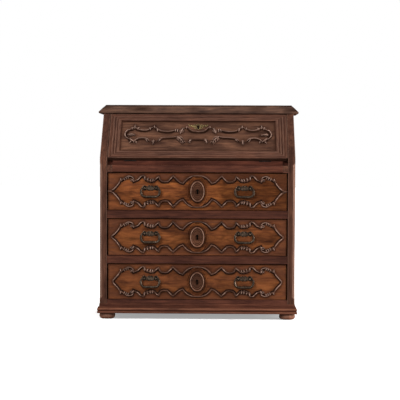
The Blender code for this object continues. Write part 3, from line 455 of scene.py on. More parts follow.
# The top is greyer and less red than the rest, with more grey added: a painted sheen on its bevel.
WALNUT_TOP = replace(walnut("walnut_top", Grain.ACROSS, 1.06, -0.4, 0.016), mottle=0.42, clouds=(9.0, 26.0))
WALNUT_DESK = walnut("walnut_desk", Grain.ACROSS, 1.0, 0.8)
WALNUT_RAIL = walnut("walnut_rail", Grain.ACROSS, 0.76, 0.6)
WALNUT_LEDGE = walnut("walnut_ledge", Grain.ACROSS, 0.94, 0.6)
WALNUT_PANEL = replace(walnut("walnut_panel", Grain.ACROSS, 1.18, -0.3), mottle=0.45, clouds=(7.0, 24.0))
# The feet are toned far lighter than the other walnut: painted light that makes up for the shade they stand in.
WALNUT_FOOT = walnut("walnut_foot", Grain.UPRIGHT, 2.3)
# The base's pale colour is redder: it paints the highlight along its torus.
WALNUT_BASE = replace(walnut("walnut_base", Grain.ACROSS, 1.10, 0.6), worn_and_lit=(0.190, 0.080, 0.044))
FIGURED = {
    "bottom_drawer": figured("figured_walnut_bottom", 1.00),
    "middle_drawer": figured("figured_walnut_middle", 0.95),
    "top_drawer": figured("figured_walnut_top", 1.16),
}
FIGURED_SMALL = figured("figured_walnut_small", 1.0)
# The carving's pale colour paints the highlight on its crests, with some wear; its dark colour paints the shade
# in its coves, with grime.
CARVED = Wood(
    name="carved_walnut_relief",
    slot="carved_walnut",
    dark=(0.036, 0.020, 0.016),
    mid=(0.072, 0.034, 0.0235),
    light=(0.111, 0.052, 0.034),
    worn_and_lit=(0.400, 0.258, 0.202),
    grime_and_shade=(0.0092, 0.0035, 0.0017),
    grain=Grain.ACROSS,
    worn_and_lit_share=0.95,
)
# The boss's pale colour is likewise a painted highlight on its rim.
CARVED_BOSS = replace(
    CARVED,
    name="carved_walnut_boss",
    dark=(0.048, 0.022, 0.0145),
    mid=(0.096, 0.041, 0.025),
    light=(0.145, 0.062, 0.036),
    worn_and_lit=(0.360, 0.225, 0.165),
)
PINE = Wood(
    name="pine_boards",
    slot="pine",
    dark=(0.190, 0.092, 0.038),
    mid=(0.300, 0.160, 0.070),
    light=(0.385, 0.222, 0.104),
    worn_and_lit=(0.310, 0.180, 0.092),
    grime_and_shade=(0.100, 0.054, 0.026),
    grain=Grain.DEEP,
    roughness=0.62,
    bands=34.0,
    mottle=0.16,
)
PINE_ACROSS = replace(PINE, name="pine_boards_across", grain=Grain.ACROSS)
PINE_UPRIGHT = replace(PINE, name="pine_boards_upright", grain=Grain.UPRIGHT)
BRONZE = Metal(
    name="bronze_handles",
    slot="dark_bronze",
    skin=(0.0120, 0.0080, 0.0054),
    bright=(0.090, 0.063, 0.045),
    tarnish_and_shade=(0.004, 0.003, 0.002),
    roughness=0.34,
)
BRASS = Metal(
    name="brass_escutcheon",
    slot="brass",
    skin=(0.085, 0.055, 0.024),
    bright=(0.290, 0.205, 0.090),
    tarnish_and_shade=(0.022, 0.015, 0.009),
    roughness=0.42,
)
IRON = Metal(
    name="iron_fittings",
    slot="iron",
    skin=(0.022, 0.019, 0.017),
    bright=(0.085, 0.078, 0.072),
    tarnish_and_shade=(0.008, 0.007, 0.006),
    roughness=0.50,
    pitting=0.4,
)


def smooth_curve(points: Sequence[tuple[float, float]], steps: int) -> list[Vector]:
    """Draws a rounded line through points.

    Args:
        points: The points, in order.
        steps: Pieces to each stretch.

    Returns:
        Points along the line, with both ends.
    """
    knots = [Vector(point) for point in points]
    ends = [2 * knots[0] - knots[1], *knots, 2 * knots[-1] - knots[-2]]
    line = []
    for before, here, after, beyond in zip(ends, ends[1:], ends[2:], ends[3:]):
        for step in range(steps):
            t = step / steps
            pull = 2 * before - 5 * here + 4 * after - beyond
            bend = 3 * here - before - 3 * after + beyond
            line.append((2 * here + (after - before) * t + pull * t**2 + bend * t**3) / 2)
    return line + [knots[-1]]


def cast_outline(shares: Rows, half: tuple[float, float]) -> list[Vector]:
    """Draws the outline of a cast plate, alike on both sides.

    Args:
        shares: Points of its right half from top to bottom, as shares of half its width and height.
        half: Half its width and height.

    Returns:
        The closed outline.
    """
    right = smooth_curve([(x * half[0], y * half[1]) for x, y in shares], 3)
    return right + [Vector((-point.x, point.y)) for point in reversed(right[1:-1])]


def mesh_from(bm: bmesh.types.BMesh, name: str) -> bpy.types.Mesh:
    """Turns a finished edit mesh into a named mesh with its faces pointing out."""
    bmesh.ops.recalc_face_normals(bm, faces=bm.faces)
    mesh = bpy.data.meshes.new(name)
    bm.to_mesh(mesh)
    bm.free()
    return mesh


def placed(name: str, data: bpy.types.ID) -> bpy.types.Object:
    """Puts a mesh, a lamp or a camera in the scene as an object."""
    obj = bpy.data.objects.new(name, data)
    bpy.context.scene.collection.objects.link(obj)
    return obj


def corners_of(low: Vector, high: Vector) -> list[Vector]:
    """Lists the four corners of an upright rectangle on a sheet, from its lowest corner round."""
    return [Vector(place) for place in ((low.x, low.y), (high.x, low.y), (high.x, high.y), (low.x, high.y))]


class Form:
    """The mesh of one piece while it is made, with every vertex's wear and painted highlight, and its grime and
    painted shade.
    """

    MITRE_LIMIT = 1.6

    def __init__(self) -> None:
        """Starts an empty mesh."""
        self.bm = bmesh.new()
        self.wear = self.bm.verts.layers.float.new("wear")
        self.dirt = self.bm.verts.layers.float.new("dirt")

    def vert(self, place: Vector, wear: float = 0.0, dirt: float = 0.0) -> bmesh.types.BMVert:
        """Adds a vertex.

        Args:
            place: Where it is.
            wear: How pale it is painted, from 0 to 1: wear, and painted highlight.
            dirt: How dark it is painted, from 0 to 1: grime, and painted shade.

        Returns:
            The vertex.
        """
        vert = self.bm.verts.new(place)
        vert[self.wear] = wear
        vert[self.dirt] = dirt
        return vert

    def skin(self, rings: Sequence[Sequence[bmesh.types.BMVert]], loop: bool = False) -> None:
        """Joins closed rings in order, and caps the first and the last unless they loop round."""
        pairs = list(zip(rings, rings[1:]))
        if loop:
            pairs.append((rings[-1], rings[0]))
        for ring, following in pairs:
            count = max(len(ring), len(following))
            for k in range(count):
                corners = [ring[k % len(ring)], ring[(k + 1) % len(ring)]]
                corners += [following[(k + 1) % len(following)], following[k % len(following)]]
                face = list(dict.fromkeys(corners))
                self.bm.faces.new(face)
        if not loop:
            for ring in (rings[0], rings[-1]):
                if len(ring) > 2:
                    self.bm.faces.new(ring)

    def board(
        self,
        low: Vector,
        high: Vector,
        arris: float = 0.0012,
        step: float = 0.06,
        face: Matrix = Matrix(),
        rub_and_highlight: float = 1.0,
    ) -> list[bmesh.types.BMVert]:
        """Adds a planed board with softened arrises and faces that aren't quite flat.

        Args:
            low: Its lowest corner.
            high: Its highest corner.
            arris: The radius of its edges.
            step: The spacing of its cross lines.
            face: The matrix that lays it in place.
            rub_and_highlight: How pale its arrises are painted, from 0 to 1: wear, and painted highlight.

        Returns:
            Its vertices.
        """
        low, high = Vector(low), Vector(high)
        soft = min(arris, min(high - low) / 3)
        axes = [board_lines(low[axis], high[axis], soft, step) for axis in range(3)]
        counts = [len(axis) for axis in axes]
        inner_low = low + Vector((soft, soft, soft))
        inner_high = high - Vector((soft, soft, soft))
        made = {}

        def corner(*index: int) -> bmesh.types.BMVert:
            """Finds or adds the vertex at one crossing of the lines."""
            if index not in made:
                flat = Vector(axes[axis][index[axis]] for axis in range(3))
                core = Vector(min(max(flat[a], inner_low[a]), inner_high[a]) for a in range(3))
                lean = flat - core
                worn_and_lit = sum(abs(part) > soft * 0.05 for part in lean) > 1
                place = core + lean.normalized() * soft if lean.length else flat
                place += lean.normalized() * 0.00012 * noise.noise(place * 23.0)
                made[index] = self.vert(face @ place, rub_and_highlight if worn_and_lit else 0.0)
            return made[index]

        for axis in range(3):
            second, third = (axis + 1) % 3, (axis + 2) % 3
            for end in (0, counts[axis] - 1):
                for i in range(counts[second] - 1):
                    for j in range(counts[third] - 1):
                        quad = []
                        for di, dj in ((0, 0), (1, 0), (1, 1), (0, 1)):
                            index = [0, 0, 0]
                            index[axis], index[second], index[third] = end, i + di, j + dj
                            quad.append(corner(*index))
                        self.bm.faces.new(quad)
        return list(made.values())

    def board_pair(
        self, inner: float, outer: float, low: tuple[float, float], high: tuple[float, float], arris: float
    ) -> None:
        """Adds a board on the left and its twin on the right.

        Args:
            inner: How far from the middle they start.
            outer: How far from the middle they end.
            low: Their lowest depth and height.
            high: Their highest depth and height.
            arris: The radius of their edges.
        """
        for start, end in ((-outer, -inner), (inner, outer)):
            self.board((start, *low), (end, *high), arris)

    def lathe(self, profile: Sequence[Station], steps: int, face: Matrix, stretch: float = 1.0) -> None:
        """Adds a turned shape about its sheet's z axis.

        Args:
            profile: Its section as (radius, height), from one end of the axis to the other.
            steps: Sides to the turn.
            face: The matrix that lays it in place.
            stretch: How much taller than wide it is, for an oval.
        """
        angles = [2 * math.pi * step / steps for step in range(steps)]
        outline = [Vector((math.cos(angle), math.sin(angle) * stretch)) for angle in angles]
        self.plate(outline, profile, face)

    def hoop(self, section: Sequence[Station], steps: int, face: Matrix, stretch: float) -> None:
        """Adds a closed ring about its sheet's z axis.

        Args:
            section: Its closed section as (radius, height).
            steps: Sides to the turn.
            face: The matrix that lays it in place.
            stretch: How much taller than wide it is, for an oval.
        """
        rings = []
        for step in range(steps):
            angle = 2 * math.pi * step / steps
            across, up = math.cos(angle), math.sin(angle) * stretch
            places = [(Vector((point.out * across, point.out * up, point.up)), point) for point in section]
            rings.append([self.vert(face @ place, point.wear, point.dirt) for place, point in places])
        self.skin(rings, True)

    def tube(
        self, points: Sequence[Vector], radii: Sequence[float], sides: int, wear: Sequence[float]
    ) -> None:
        """Adds a round bar along a line in space, with a painted highlight where it faces up and forward and
        painted shade underneath.

        Args:
            points: The line.
            radii: Its radius at each point.
            sides: Sides to its section.
            wear: How strong its painted highlight is at each point.
        """
        rings = []
        across = Vector((0.0, 1.0, 0.0))
        for index, point in enumerate(points):
            before = points[max(index - 1, 0)]
            after = points[min(index + 1, len(points) - 1)]
            along = (after - before).normalized()
            across = (across - along * across.dot(along)).normalized()
            aside = along.cross(across)
            ring = []
            for side in range(sides):
                angle = 2 * math.pi * side / sides
                out = across * math.cos(angle) + aside * math.sin(angle)
                # Painted highlight on the side facing up and forward, painted shade on the underside.
                painted_highlight = wear[index] * max(0.0, 0.7 * out.z - 0.7 * out.y)
                shadow_and_grime = 0.8 * max(0.0, -out.z)
                ring.append(self.vert(point + out * radii[index], painted_highlight, shadow_and_grime))
            rings.append(ring)
        self.skin(rings)

    def sweep(self, path: Sequence[Vector], profile: Sequence[Station], face: Matrix, closed: bool) -> None:
        """Carries a closed section along a line on a sheet, mitred at its corners.

        Args:
            path: The line; the section's offset is to its left.
            profile: The section.
            face: The matrix that lays the sheet in place.
            closed: Whether the line comes back to its start.
        """
        rings = []
        last = len(path) - 1
        for index, here in enumerate(path):
            before = path[index - 1] if closed or index else 2 * here - path[1]
            after = path[(index + 1) % len(path)] if closed or index < last else 2 * here - path[-2]
            left = [Vector((a.y - b.y, b.x - a.x)).normalized() for a, b in ((before, here), (here, after))]
            mitre = (left[0] + left[1]) / max(1.0 + left[0].dot(left[1]), 0.2)
            mitre *= min(1.0, self.MITRE_LIMIT / mitre.length)
            ring = []
            for point in profile:
                place = here + mitre * point.out
                ring.append(self.vert(face @ Vector((place.x, place.y, point.up)), point.wear, point.dirt))
            rings.append(ring)
        self.skin(rings, closed)

    def plate(self, outline: Sequence[Vector], levels: Sequence[Station], face: Matrix) -> None:
        """Adds a cast plate from one outline, drawn in level by level.

        Args:
            outline: Its outline about the sheet's origin.
            levels: Shares of the outline with their heights.
            face: The matrix that lays the sheet in place.
        """
        rings = []
        for level in levels:
            if level.out < TINY:
                rings.append([self.vert(face @ Vector((0.0, 0.0, level.up)), level.wear, level.dirt)])
                continue
            places = [Vector((point.x * level.out, point.y * level.out, level.up)) for point in outline]
            rings.append([self.vert(face @ place, level.wear, level.dirt) for place in places])
        self.skin(rings)

    def screw(self, face: Matrix, radius: float = 0.0036) -> None:
        """Adds a slotted screw head, sunk so that it stands just proud of the sheet."""
        self.lathe(stations((radius, -0.0004, 0, 1), (radius, 0.0, 0, 1), (0, 0.0, 0, 1)), 16, face)
        slot = radius * 0.16
        for turn in (0.0, math.pi):
            start = math.asin(slot / radius)
            angles = [start + (math.pi - 2 * start) * step / 8 for step in range(9)]
            half = [Vector((radius * math.cos(a), radius * math.sin(a), 0.0)) for a in angles]
            turned = face @ Matrix.Rotation(turn, 4, "Z")
            rings = []
            for up, draw, wear in ((0.0, 1.0, 0.0), (0.0005, 0.97, 0.4), (0.0008, 0.80, 1.0)):
                middle = Vector((0.0, radius * 0.5, 0.0))
                places = [middle + (point - middle) * draw + Vector((0, 0, up)) for point in half]
                rings.append([self.vert(turned @ place, wear) for place in places])
            self.skin(rings)

    def darken_near_line(
        self, verts: Iterable[bmesh.types.BMVert], line: Sequence[Vector], reach: float, most: float
    ) -> None:
        """Darkens vertices close to a carved line: grime, and painted shade beside the carving.

        Args:
            verts: The vertices of the ground that the carving lies on.
            line: Points along the carving, in place.
            reach: How far the darkening spreads.
            most: How dark the ground is painted right beside it.
        """
        tree = kdtree.KDTree(len(line))
        for index, point in enumerate(line):
            tree.insert(point, index)
        tree.balance()
        for vert in verts:
            gap = tree.find(vert.co)[2]
            vert[self.dirt] = max(vert[self.dirt], most * math.exp(-((gap / reach) ** 2)))

    def piece(self, name: str, finish: Finish, body: str, *nodes: str) -> bpy.types.Object:
        """Turns the mesh into a finished piece that rides on a body.

        Args:
            name: The piece's name.
            finish: Its finish.
            body: The body that it rides on.
            *nodes: The nodes of the frame that it stands for.

        Returns:
            The piece.
        """
        mesh = mesh_from(self.bm, name)
        mesh.shade_smooth()
        mesh.set_sharp_from_angle(angle=SHARP_ANGLE)
        mesh.materials.append(finish.material())
        obj = placed(name, mesh)
        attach(obj, body)
        if nodes:
            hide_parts(*nodes)
        LOG.info("%s: %d faces on %s", name, len(mesh.polygons), body)
        return obj


def board_lines(low: float, high: float, soft: float, step: float) -> list[float]:
    """Spaces the cross lines of a board, close together at its arrises.

    Args:
        low: One end.
        high: The other end.
        soft: The radius of the arris.
        step: The spacing between the arrises.

    Returns:
        The places of the lines.
    """
    edge = [0.0, 0.3 * soft, soft]
    if high - low > 9 * soft:
        edge.append(4 * soft)
    inside = high - low - 2 * edge[-1]
    count = max(1, round(inside / step))
    middle = [low + edge[-1] + inside * share / count for share in range(1, count)]
    return [low + gap for gap in edge] + middle + [high - gap for gap in reversed(edge)]


def cut_out(
    piece: bpy.types.Object, outline: Sequence[Vector], face: Matrix, low: float, high: float
) -> None:
    """Cuts a straight-sided hole in a piece.

    Args:
        piece: The piece to cut.
        outline: The hole's outline on its sheet.
        face: The matrix that lays the sheet in place.
        low: Where the hole starts on the sheet's z axis.
        high: Where it ends.
    """
    bm = bmesh.new()
    rings = []
    for up in (low, high):
        rings.append([bm.verts.new(face @ Vector((point.x, point.y, up))) for point in outline])
    bm.faces.new(rings[0])
    bm.faces.new(rings[1])
    for k in range(len(outline)):
        bm.faces.new((rings[0][k - 1], rings[0][k], rings[1][k], rings[1][k - 1]))
    cutter = placed("cutter", mesh_from(bm, "cutter"))
    hole = piece.modifiers.new("hole", "BOOLEAN")
    hole.operation = "DIFFERENCE"
    hole.object = cutter
    graph = bpy.context.evaluated_depsgraph_get()
    graph.update()
    pierced = bpy.data.meshes.new_from_object(piece.evaluated_get(graph))
    pierced.name = piece.name
    piece.modifiers.clear()
    piece.data = pierced
    bpy.data.objects.remove(cutter)


@dataclass(frozen=True)
class Keyhole:
    """A keyhole: a round hole with a slot below it."""

    radius: float = 0.0064
    slot: float = 0.0042
    drop: float = 0.0205
    steps: int = 20
    depth: float = 0.06

    def pierce(self, piece: bpy.types.Object, face: Matrix) -> None:
        """Cuts the keyhole right through a piece.

        Args:
            piece: The piece to cut.
            face: The matrix that lays the keyhole's sheet in place.
        """
        opening = math.asin(self.slot / self.radius)
        start = opening - QUARTER_TURN
        angles = [start + k / self.steps * 2 * (math.pi - opening) for k in range(self.steps + 1)]
        outline = [Vector((self.radius * math.cos(a), self.radius * math.sin(a))) for a in angles]
        outline += [Vector((side * self.slot, -self.drop)) for side in (-1, 1)]
        cut_out(piece, outline, face, -self.depth, self.depth)


@dataclass(frozen=True)
class Layout:
    """The bureau's main faces, read from the frame."""

    inner: float
    outer: float
    front: float
    back: float
    floor: float
    under_top: float

    @classmethod
    def measure(cls) -> "Layout":
        """Reads the faces from the right side board."""
        low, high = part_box("side_right")
        return cls(low.x, high.x, low.y, high.y, low.z, high.z)

    def slope_front(self, height: float) -> float:
        """Gives the depth of the side boards' front edge at a height.

        Args:
            height: The height above the floor.

        Returns:
            The depth of the edge.
        """
        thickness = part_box("desk_board")[1].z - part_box("desk_board")[0].z
        foot = FLAP_FACE @ Vector((0.0, 0.0, thickness))
        return max(self.front, foot.y + (height - foot.z) / math.tan(FLAP_SLOPE))


# Carving sections: each crest is painted pale (wear and painted highlight), each toe and cove dark (grime and
# painted shade).
LOBED = stations(
    (-1.0, 0.0, 0, 1), (-0.84, 0.45, 0, 0.5), (-0.52, 0.90, 0.8), (-0.15, 1.0, 1), (0.22, 0.95, 0.9),
    (0.42, 0.72, 0.2, 0.3), (0.54, 0.50, 0, 1), (0.68, 0.60, 0.4), (0.84, 0.38, 0, 0.6),
    (1.0, 0.0, 0, 1),
)
ROUNDED = stations(
    (-1.0, 0.0, 0, 1), (-0.88, 0.42, 0, 0.5), (-0.60, 0.84), (-0.38, 0.95, 0.25), (-0.12, 1.0, 1),
    (0.14, 0.98, 0.7), (0.40, 0.87, 0.05), (0.84, 0.36, 0, 0.7), (1.0, 0.0, 0, 1),
)
STROKE = stations(
    (-1.0, 0.0, 0, 1), (-0.88, 0.45, 0, 0.4), (-0.66, 0.90, 0.5), (-0.44, 1.0, 1), (-0.22, 0.90, 0.5),
    (-0.04, 0.50, 0, 0.5), (0.10, 0.20, 0, 1), (0.40, 0.10, 0, 1), (0.75, 0.10, 0, 1),
    (1.0, 0.0, 0, 0.8),
)


class Sprig(NamedTuple):
    """A line that a leaf grows along: its root, its heading and bend in degrees, and its length."""

    across: float
    up: float
    heading: float
    length: float
    bend: float


class Carver:
    """Carves leaves and scrolls on a sheet, each alike on both sides of the sheet's middle line."""

    RELIEF = 0.0098
    STEPS = 8
    LOBE_SPREAD = 48
    LOBE_CURL = 40

    def __init__(self, form: Form, face: Matrix, flips: Sequence[tuple[int, int]]) -> None:
        """Keeps the mesh, the sheet and the ways that each ornament is mirrored."""
        self.form = form
        self.face = face
        self.flips = flips

    def cut(
        self,
        path: Sequence[Vector],
        widths: Sequence[float],
        heights: Sequence[float],
        section: Sequence[Station],
        rub_and_highlight: float,
    ) -> None:
        """Carves a shape whose width and height change along it, in every mirrored place.

        Args:
            path: Its line.
            widths: Half its width at each point.
            heights: Its height at each point.
            section: Its section as shares of half width and height.
            rub_and_highlight: How pale its crest is painted, from 0 to 1: wear and a painted highlight.
        """
        last = len(path) - 1
        for flip_x, flip_y in self.flips:
            rings = []
            for index, here in enumerate(path):
                along = (path[min(index + 1, last)] - path[max(index - 1, 0)]).normalized()
                left = Vector((-along.y, along.x)) * widths[index]
                ring = []
                for point in section:
                    place = here + left * point.out
                    spot = Vector((place.x * flip_x, place.y * flip_y, point.up * heights[index]))
                    ring.append(self.form.vert(self.face @ spot, point.wear * rub_and_highlight, point.dirt))
                rings.append(ring)
            self.form.skin(rings)

    def stroke(
        self,
        path: Sequence[Vector],
        width: float,
        height: float,
        taper: float,
        section: Sequence[Station],
        rub_and_highlight: float = 1.0,
    ) -> None:
        """Carves one stroke in every mirrored place.

        Args:
            path: Its line.
            width: Half its full width.
            height: Its full height.
            taper: The share of its length over which each end draws in.
            section: Its section.
            rub_and_highlight: How pale its crest is painted, from 0 to 1: wear and a painted highlight.
        """
        last = len(path) - 1
        ends = [min(k, last - k) / max(taper * last, TINY) for k in range(last + 1)]
        swell = [min(1.0, 0.25 + 0.75 * end) for end in ends]
        self.cut(path, [width * share for share in swell], [height * share for share in swell], section, rub_and_highlight)

    def spine(self, sprig: Sprig) -> list[Vector]:
        """Draws the line of a sprig.

        Args:
            sprig: The sprig.

        Returns:
            Points along the line.
        """
        line = [Vector((sprig.across, sprig.up))]
        for step in range(self.STEPS):
            angle = math.radians(sprig.heading + sprig.bend * step / self.STEPS)
            line.append(line[-1] + Vector((math.cos(angle), math.sin(angle))) * sprig.length / self.STEPS)
        return line

    def leaf(self, sprig: Sprig, width: float, rub_and_highlight: float) -> None:
        """Carves a lobed leaf in every mirrored place.

        Args:
            sprig: The line that it grows along.
            width: Its greatest width.
            rub_and_highlight: How pale its crest is painted, from 0 to 1: wear and a painted highlight.
        """
        shares = [k / self.STEPS for k in range(self.STEPS + 1)]
        rise = min(self.RELIEF, width)
        widths = [width / 2 * (0.12 + 0.88 * math.sin(math.pi * share**0.75)) for share in shares]
        heights = [rise * (0.35 + 0.65 * math.sin(math.pi * share**1.3)) for share in shares]
        self.cut(self.spine(sprig), widths, heights, LOBED, rub_and_highlight)

    def frond(self, sprig: Sprig, pairs: int, rub_and_highlight: float) -> list[Vector]:
        """Carves a frond in every mirrored place: a long leaf over pairs of lobes that shrink to its tip.

        Args:
            sprig: The line that it grows along.
            pairs: How many pairs of lobes it has.
            rub_and_highlight: How pale its crests are painted, from 0 to 1: wear and a painted highlight.

        Returns:
            Points along its line.
        """
        line = self.spine(sprig)
        for number in range(pairs):
            share = (number + 0.3) / (pairs + 0.3)
            root = line[round(share * self.STEPS)]
            size = sprig.length * (0.50 - 0.22 * share)
            for side in (-1, 1):
                turn = sprig.heading + sprig.bend * share + side * self.LOBE_SPREAD
                lobe = Sprig(root.x, root.y, turn, size, -side * self.LOBE_CURL)
                self.leaf(lobe, size * 0.42, rub_and_highlight * 0.35)
        self.leaf(sprig, min(0.26 * sprig.length, 0.0105), rub_and_highlight)
        return line

    def scroll(self, centre: tuple[float, float], radius: float, start: float, turn: float) -> None:
        """Carves a spiral scroll with a round eye in every mirrored place.

        Args:
            centre: The eye's place.
            radius: The outer radius.
            start: The angle at which it starts, in degrees.
            turn: How far it winds inwards, in degrees.
        """
        steps = 22
        path = []
        for step in range(steps + 1):
            share = step / steps
            angle = math.radians(start + turn * share)
            reach = radius * (1.0 - 0.72 * share)
            path.append(Vector(centre) + Vector((math.cos(angle), math.sin(angle))) * reach)
        self.stroke(path, radius * 0.26, 0.0074, 0.15, ROUNDED)
        eye = stations((radius * 0.34, 0.0, 0, 1), (radius * 0.30, 0.0045, 0.4), (0, 0.0070, 1))
        for flip_x, flip_y in self.flips:
            place = Matrix.Translation((centre[0] * flip_x, centre[1] * flip_y, 0.0))
            self.form.lathe(eye, 12, self.face @ place)


@dataclass
class Carcase:
    """The fixed body: sides, top, base, feet, boards, rails, back, the flap's stop rail and the gallery."""

    layout: Layout
    chamfer: float = 0.0100
    bead: float = 0.0044
    arris: float = 0.0012
    planks: int = 6
    foot_steps: int = 48
    foot_swell: float = 1.07
    base_depth: float = 0.051
    base_trim: float = 0.86
    base_drop: float = 0.0025
    rail_depth: float = 0.0453
    body: str = "carcase"

    CHAMFER_FOOT = 0.004
    CHAMFER_HEAD = 0.012
    CHAMFER_STOP = 0.020
    CHAMFER_SCOOP = 0.003
    SLOPE_FOOT = 0.013

    def build(self) -> None:
        """Makes the fixed body's pieces, all but the desk's hinge leaves."""
        for name, side in (("left", -1), ("right", 1)):
            self.side(name, side)
        self.top()
        self.base()
        self.feet()
        self.boards()
        self.rails()
        self.back()
        self.stop_rail()
        self.gallery()

    def chamfer_at(self, height: float) -> float:
        """Gives the width of the front corner's chamfer, with a scooped stop at each end.

        Args:
            height: The height above the floor.

        Returns:
            The chamfer's width there.
        """
        foot, head = self.chamfer_ends()
        run = min(max(min(height - foot, head - height) / self.CHAMFER_STOP, 0.0), 1.0)
        scoop = self.CHAMFER_SCOOP * math.sin(run * math.pi)
        return self.arris + (self.chamfer - self.arris) * math.sin(run * QUARTER_TURN) + scoop

    def chamfer_ends(self) -> tuple[float, float]:
        """Gives the heights at which the front corner's chamfer starts and ends."""
        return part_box("bottom_board")[1].z + self.CHAMFER_FOOT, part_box("desk_board")[0].z + self.CHAMFER_HEAD

    def side(self, name: str, side: int) -> None:
        """Makes a side board with its slanted edge, beaded inner arris and stopped chamfer.

        Args:
            name: Which side, in words.
            side: -1 for the left and 1 for the right.
        """
        lay = self.layout
        foot, head = self.chamfer_ends()
        slope_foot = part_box("desk_board")[1].z + self.SLOPE_FOOT
        levels = [lay.floor, lay.floor + 0.012]
        levels += [foot + 0.0025 * k for k in range(10)]
        levels += [0.14 + 0.033 * k for k in range(18)]
        levels += [head - 0.0025 * k for k in range(9, -1, -1)]
        levels += [slope_foot - 0.001, slope_foot + 0.003]
        levels += [slope_foot + (lay.under_top - slope_foot) * (k + 1) / 8 for k in range(8)]
        form = Form()
        rings = []
        for height in levels:
            front = lay.slope_front(height)
            chamfer = self.chamfer_at(height)
            bead = self.bead
            ring = [(lay.inner, lay.back, 0, 0)]
            # Painted shade on the inner face just inside the drawer openings.
            ring += [(lay.inner, front + depth, 0, 0.9) for depth in (0.030, 0.008)]
            # The bead: its crest painted pale (painted highlight) and its hollow dark (painted shade), then a
            # dark line in the groove beside it (painted shade).
            for step in range(5):
                angle = QUARTER_TURN * step / 4
                crest = math.sin(angle)
                x = lay.inner + bead * (1 - math.cos(angle))
                ring.append((x, front + bead * (1 - crest), 0.5 * crest, 1 - crest))
            ring += [
                (lay.inner + bead + 0.0012, front + 0.0008, 0, 0.9),
                (lay.inner + bead + 0.0026, front, 0, 0.1), (lay.outer - chamfer - 0.003, front, 0, 0),
                # The chamfer is painted pale along both its edges: painted highlight, with edge wear.
                (lay.outer - chamfer, front, 1, 0),
                (lay.outer - chamfer / 2 - 0.0002, front + chamfer / 2 - 0.0002, 0.9, 0),
                (lay.outer, front + chamfer, 1, 0), (lay.outer, front + chamfer + 0.004, 0, 0),
            ]
            depth = lay.back - front
            ring += [(lay.outer, front + depth * share, 0, 0) for share in (0.25, 0.5, 0.75, 1.0)]
            rings.append([form.vert(Vector((side * x, y, height)), wear, dirt) for x, y, wear, dirt in ring])
        form.skin(rings)
        form.piece(f"{name}_side", WALNUT_UPRIGHT, self.body, f"side_{name}")

    def top(self) -> None:
        """Makes the top board: a thin lip, a broad bevel and a softened upper arris."""
        low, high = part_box("top_board")
        lip = low.z + 0.010
        bevel = 0.035
        # Each level: inset, height, wear and painted highlight, grime and painted shade. The lip's underside and
        # the groove above it are painted dark as painted shade; the pale band up the bevel and its upper arris
        # are wear and painted highlight, and the dark line just below that arris is painted shade.
        levels = (
            (0.0016, low.z, 0, 0.6), (0.0004, low.z + 0.0006, 0, 0.5), (0.0, low.z + 0.0018, 0, 0.3),
            (0.0, lip - 0.0016, 0, 0.15), (0.0006, lip - 0.0004, 0.1, 0.1), (0.0018, lip, 0.2, 0),
            (0.0030, lip + 0.0006, 0, 0.5), (0.0044, lip + 0.0024, 0, 0),
            (bevel * 0.5, (lip + high.z) / 2, 0, 0), (bevel * 0.62, lip + 0.62 * (high.z - lip), 0.35, 0),
            (bevel - 0.0060, high.z - 0.0060, 0, 0.45),
            (bevel - 0.0010, high.z - 0.0010, 0, 0.85), (bevel + 0.0004, high.z, 0.3, 0.6),
            (bevel + 0.0040, high.z, 0, 0), (bevel + 0.10, high.z, 0, 0),
        )
        form = Form()
        rings = []
        for inset, height, wear, dirt in levels:
            corners = corners_of(Vector((low.x + inset, low.y + inset)), Vector((high.x - inset, high.y)))
            ring = []
            for start, end, pieces in zip(corners, corners[1:] + corners[:1], (36, 12, 36, 12)):
                for step in range(pieces):
                    place = start.lerp(end, step / pieces)
                    spot = Vector((place.x, place.y, height))
                    spot.z += 0.0002 * noise.noise(spot * 17.0) if wear else 0.0
                    # Random blotches darken the bevel as the wood's tone; the rest of the dark is the levels'
                    # painted shade.
                    blotch = 1.5 * noise.noise(Vector((9.0 * place.x, 9.0 * place.y, 26.0 * height)))
                    darkness = max(dirt, min(blotch, 0.8)) if 0.003 < inset <= bevel else dirt
                    ring.append(form.vert(spot, wear, darkness))
            rings.append(ring)
        form.skin(rings)
        form.piece("bevelled_top", WALNUT_TOP, self.body, "top_board")

    def base_section(self, reach: float, height: float) -> tuple[Station, ...]:
        """Draws the base frame's section: fillet, torus and cove outside, plain faces inside.

        Args:
            reach: How far it stands out of the carcase.
            height: How tall it is.

        Returns:
            The section, offset inwards from the carcase's face.
        """
        # The fillet's foot, the lines under and over the torus and the cove are painted dark: painted shade.
        shares = [
            (0.60, 0.0, 0, 0.8), (0.92, 0.0006, 0, 0.4), (1.0, 0.0030, 0.3), (1.0, 0.0086, 0.5),
            (0.95, 0.0102, 0.2), (0.82, 0.0112, 0, 1), (0.80, 0.0138, 0, 1),
        ]
        for step in range(11):
            angle = math.radians(-80 + 160 * step / 10)
            # The torus is painted pale where it faces up and out: a painted highlight.
            wear = max(0.0, math.cos(angle - 0.5)) ** 3
            shares.append((0.74 + 0.24 * math.cos(angle), 0.0202 + 0.0064 * math.sin(angle), wear))
        shares += [(0.72, 0.0272, 0, 1), (0.70, 0.0290, 0.2, 0.2)]
        for step in range(9):
            angle = QUARTER_TURN * step / 8
            out = 0.14 + 0.56 * (1.0 - math.sin(angle))
            up = 0.0290 + (height - 0.0322) * (1.0 - math.cos(angle))
            shares.append((out, up, 0, 0.25 + 0.35 * math.sin(2 * angle)))
        shares += [(0.12, height - 0.002, 0.5), (0.10, height - 0.0002, 0.3)]
        inside = stations((self.base_depth, height - 0.0002), (self.base_depth, 0.0))
        return stations(*shares, size=-reach) + inside

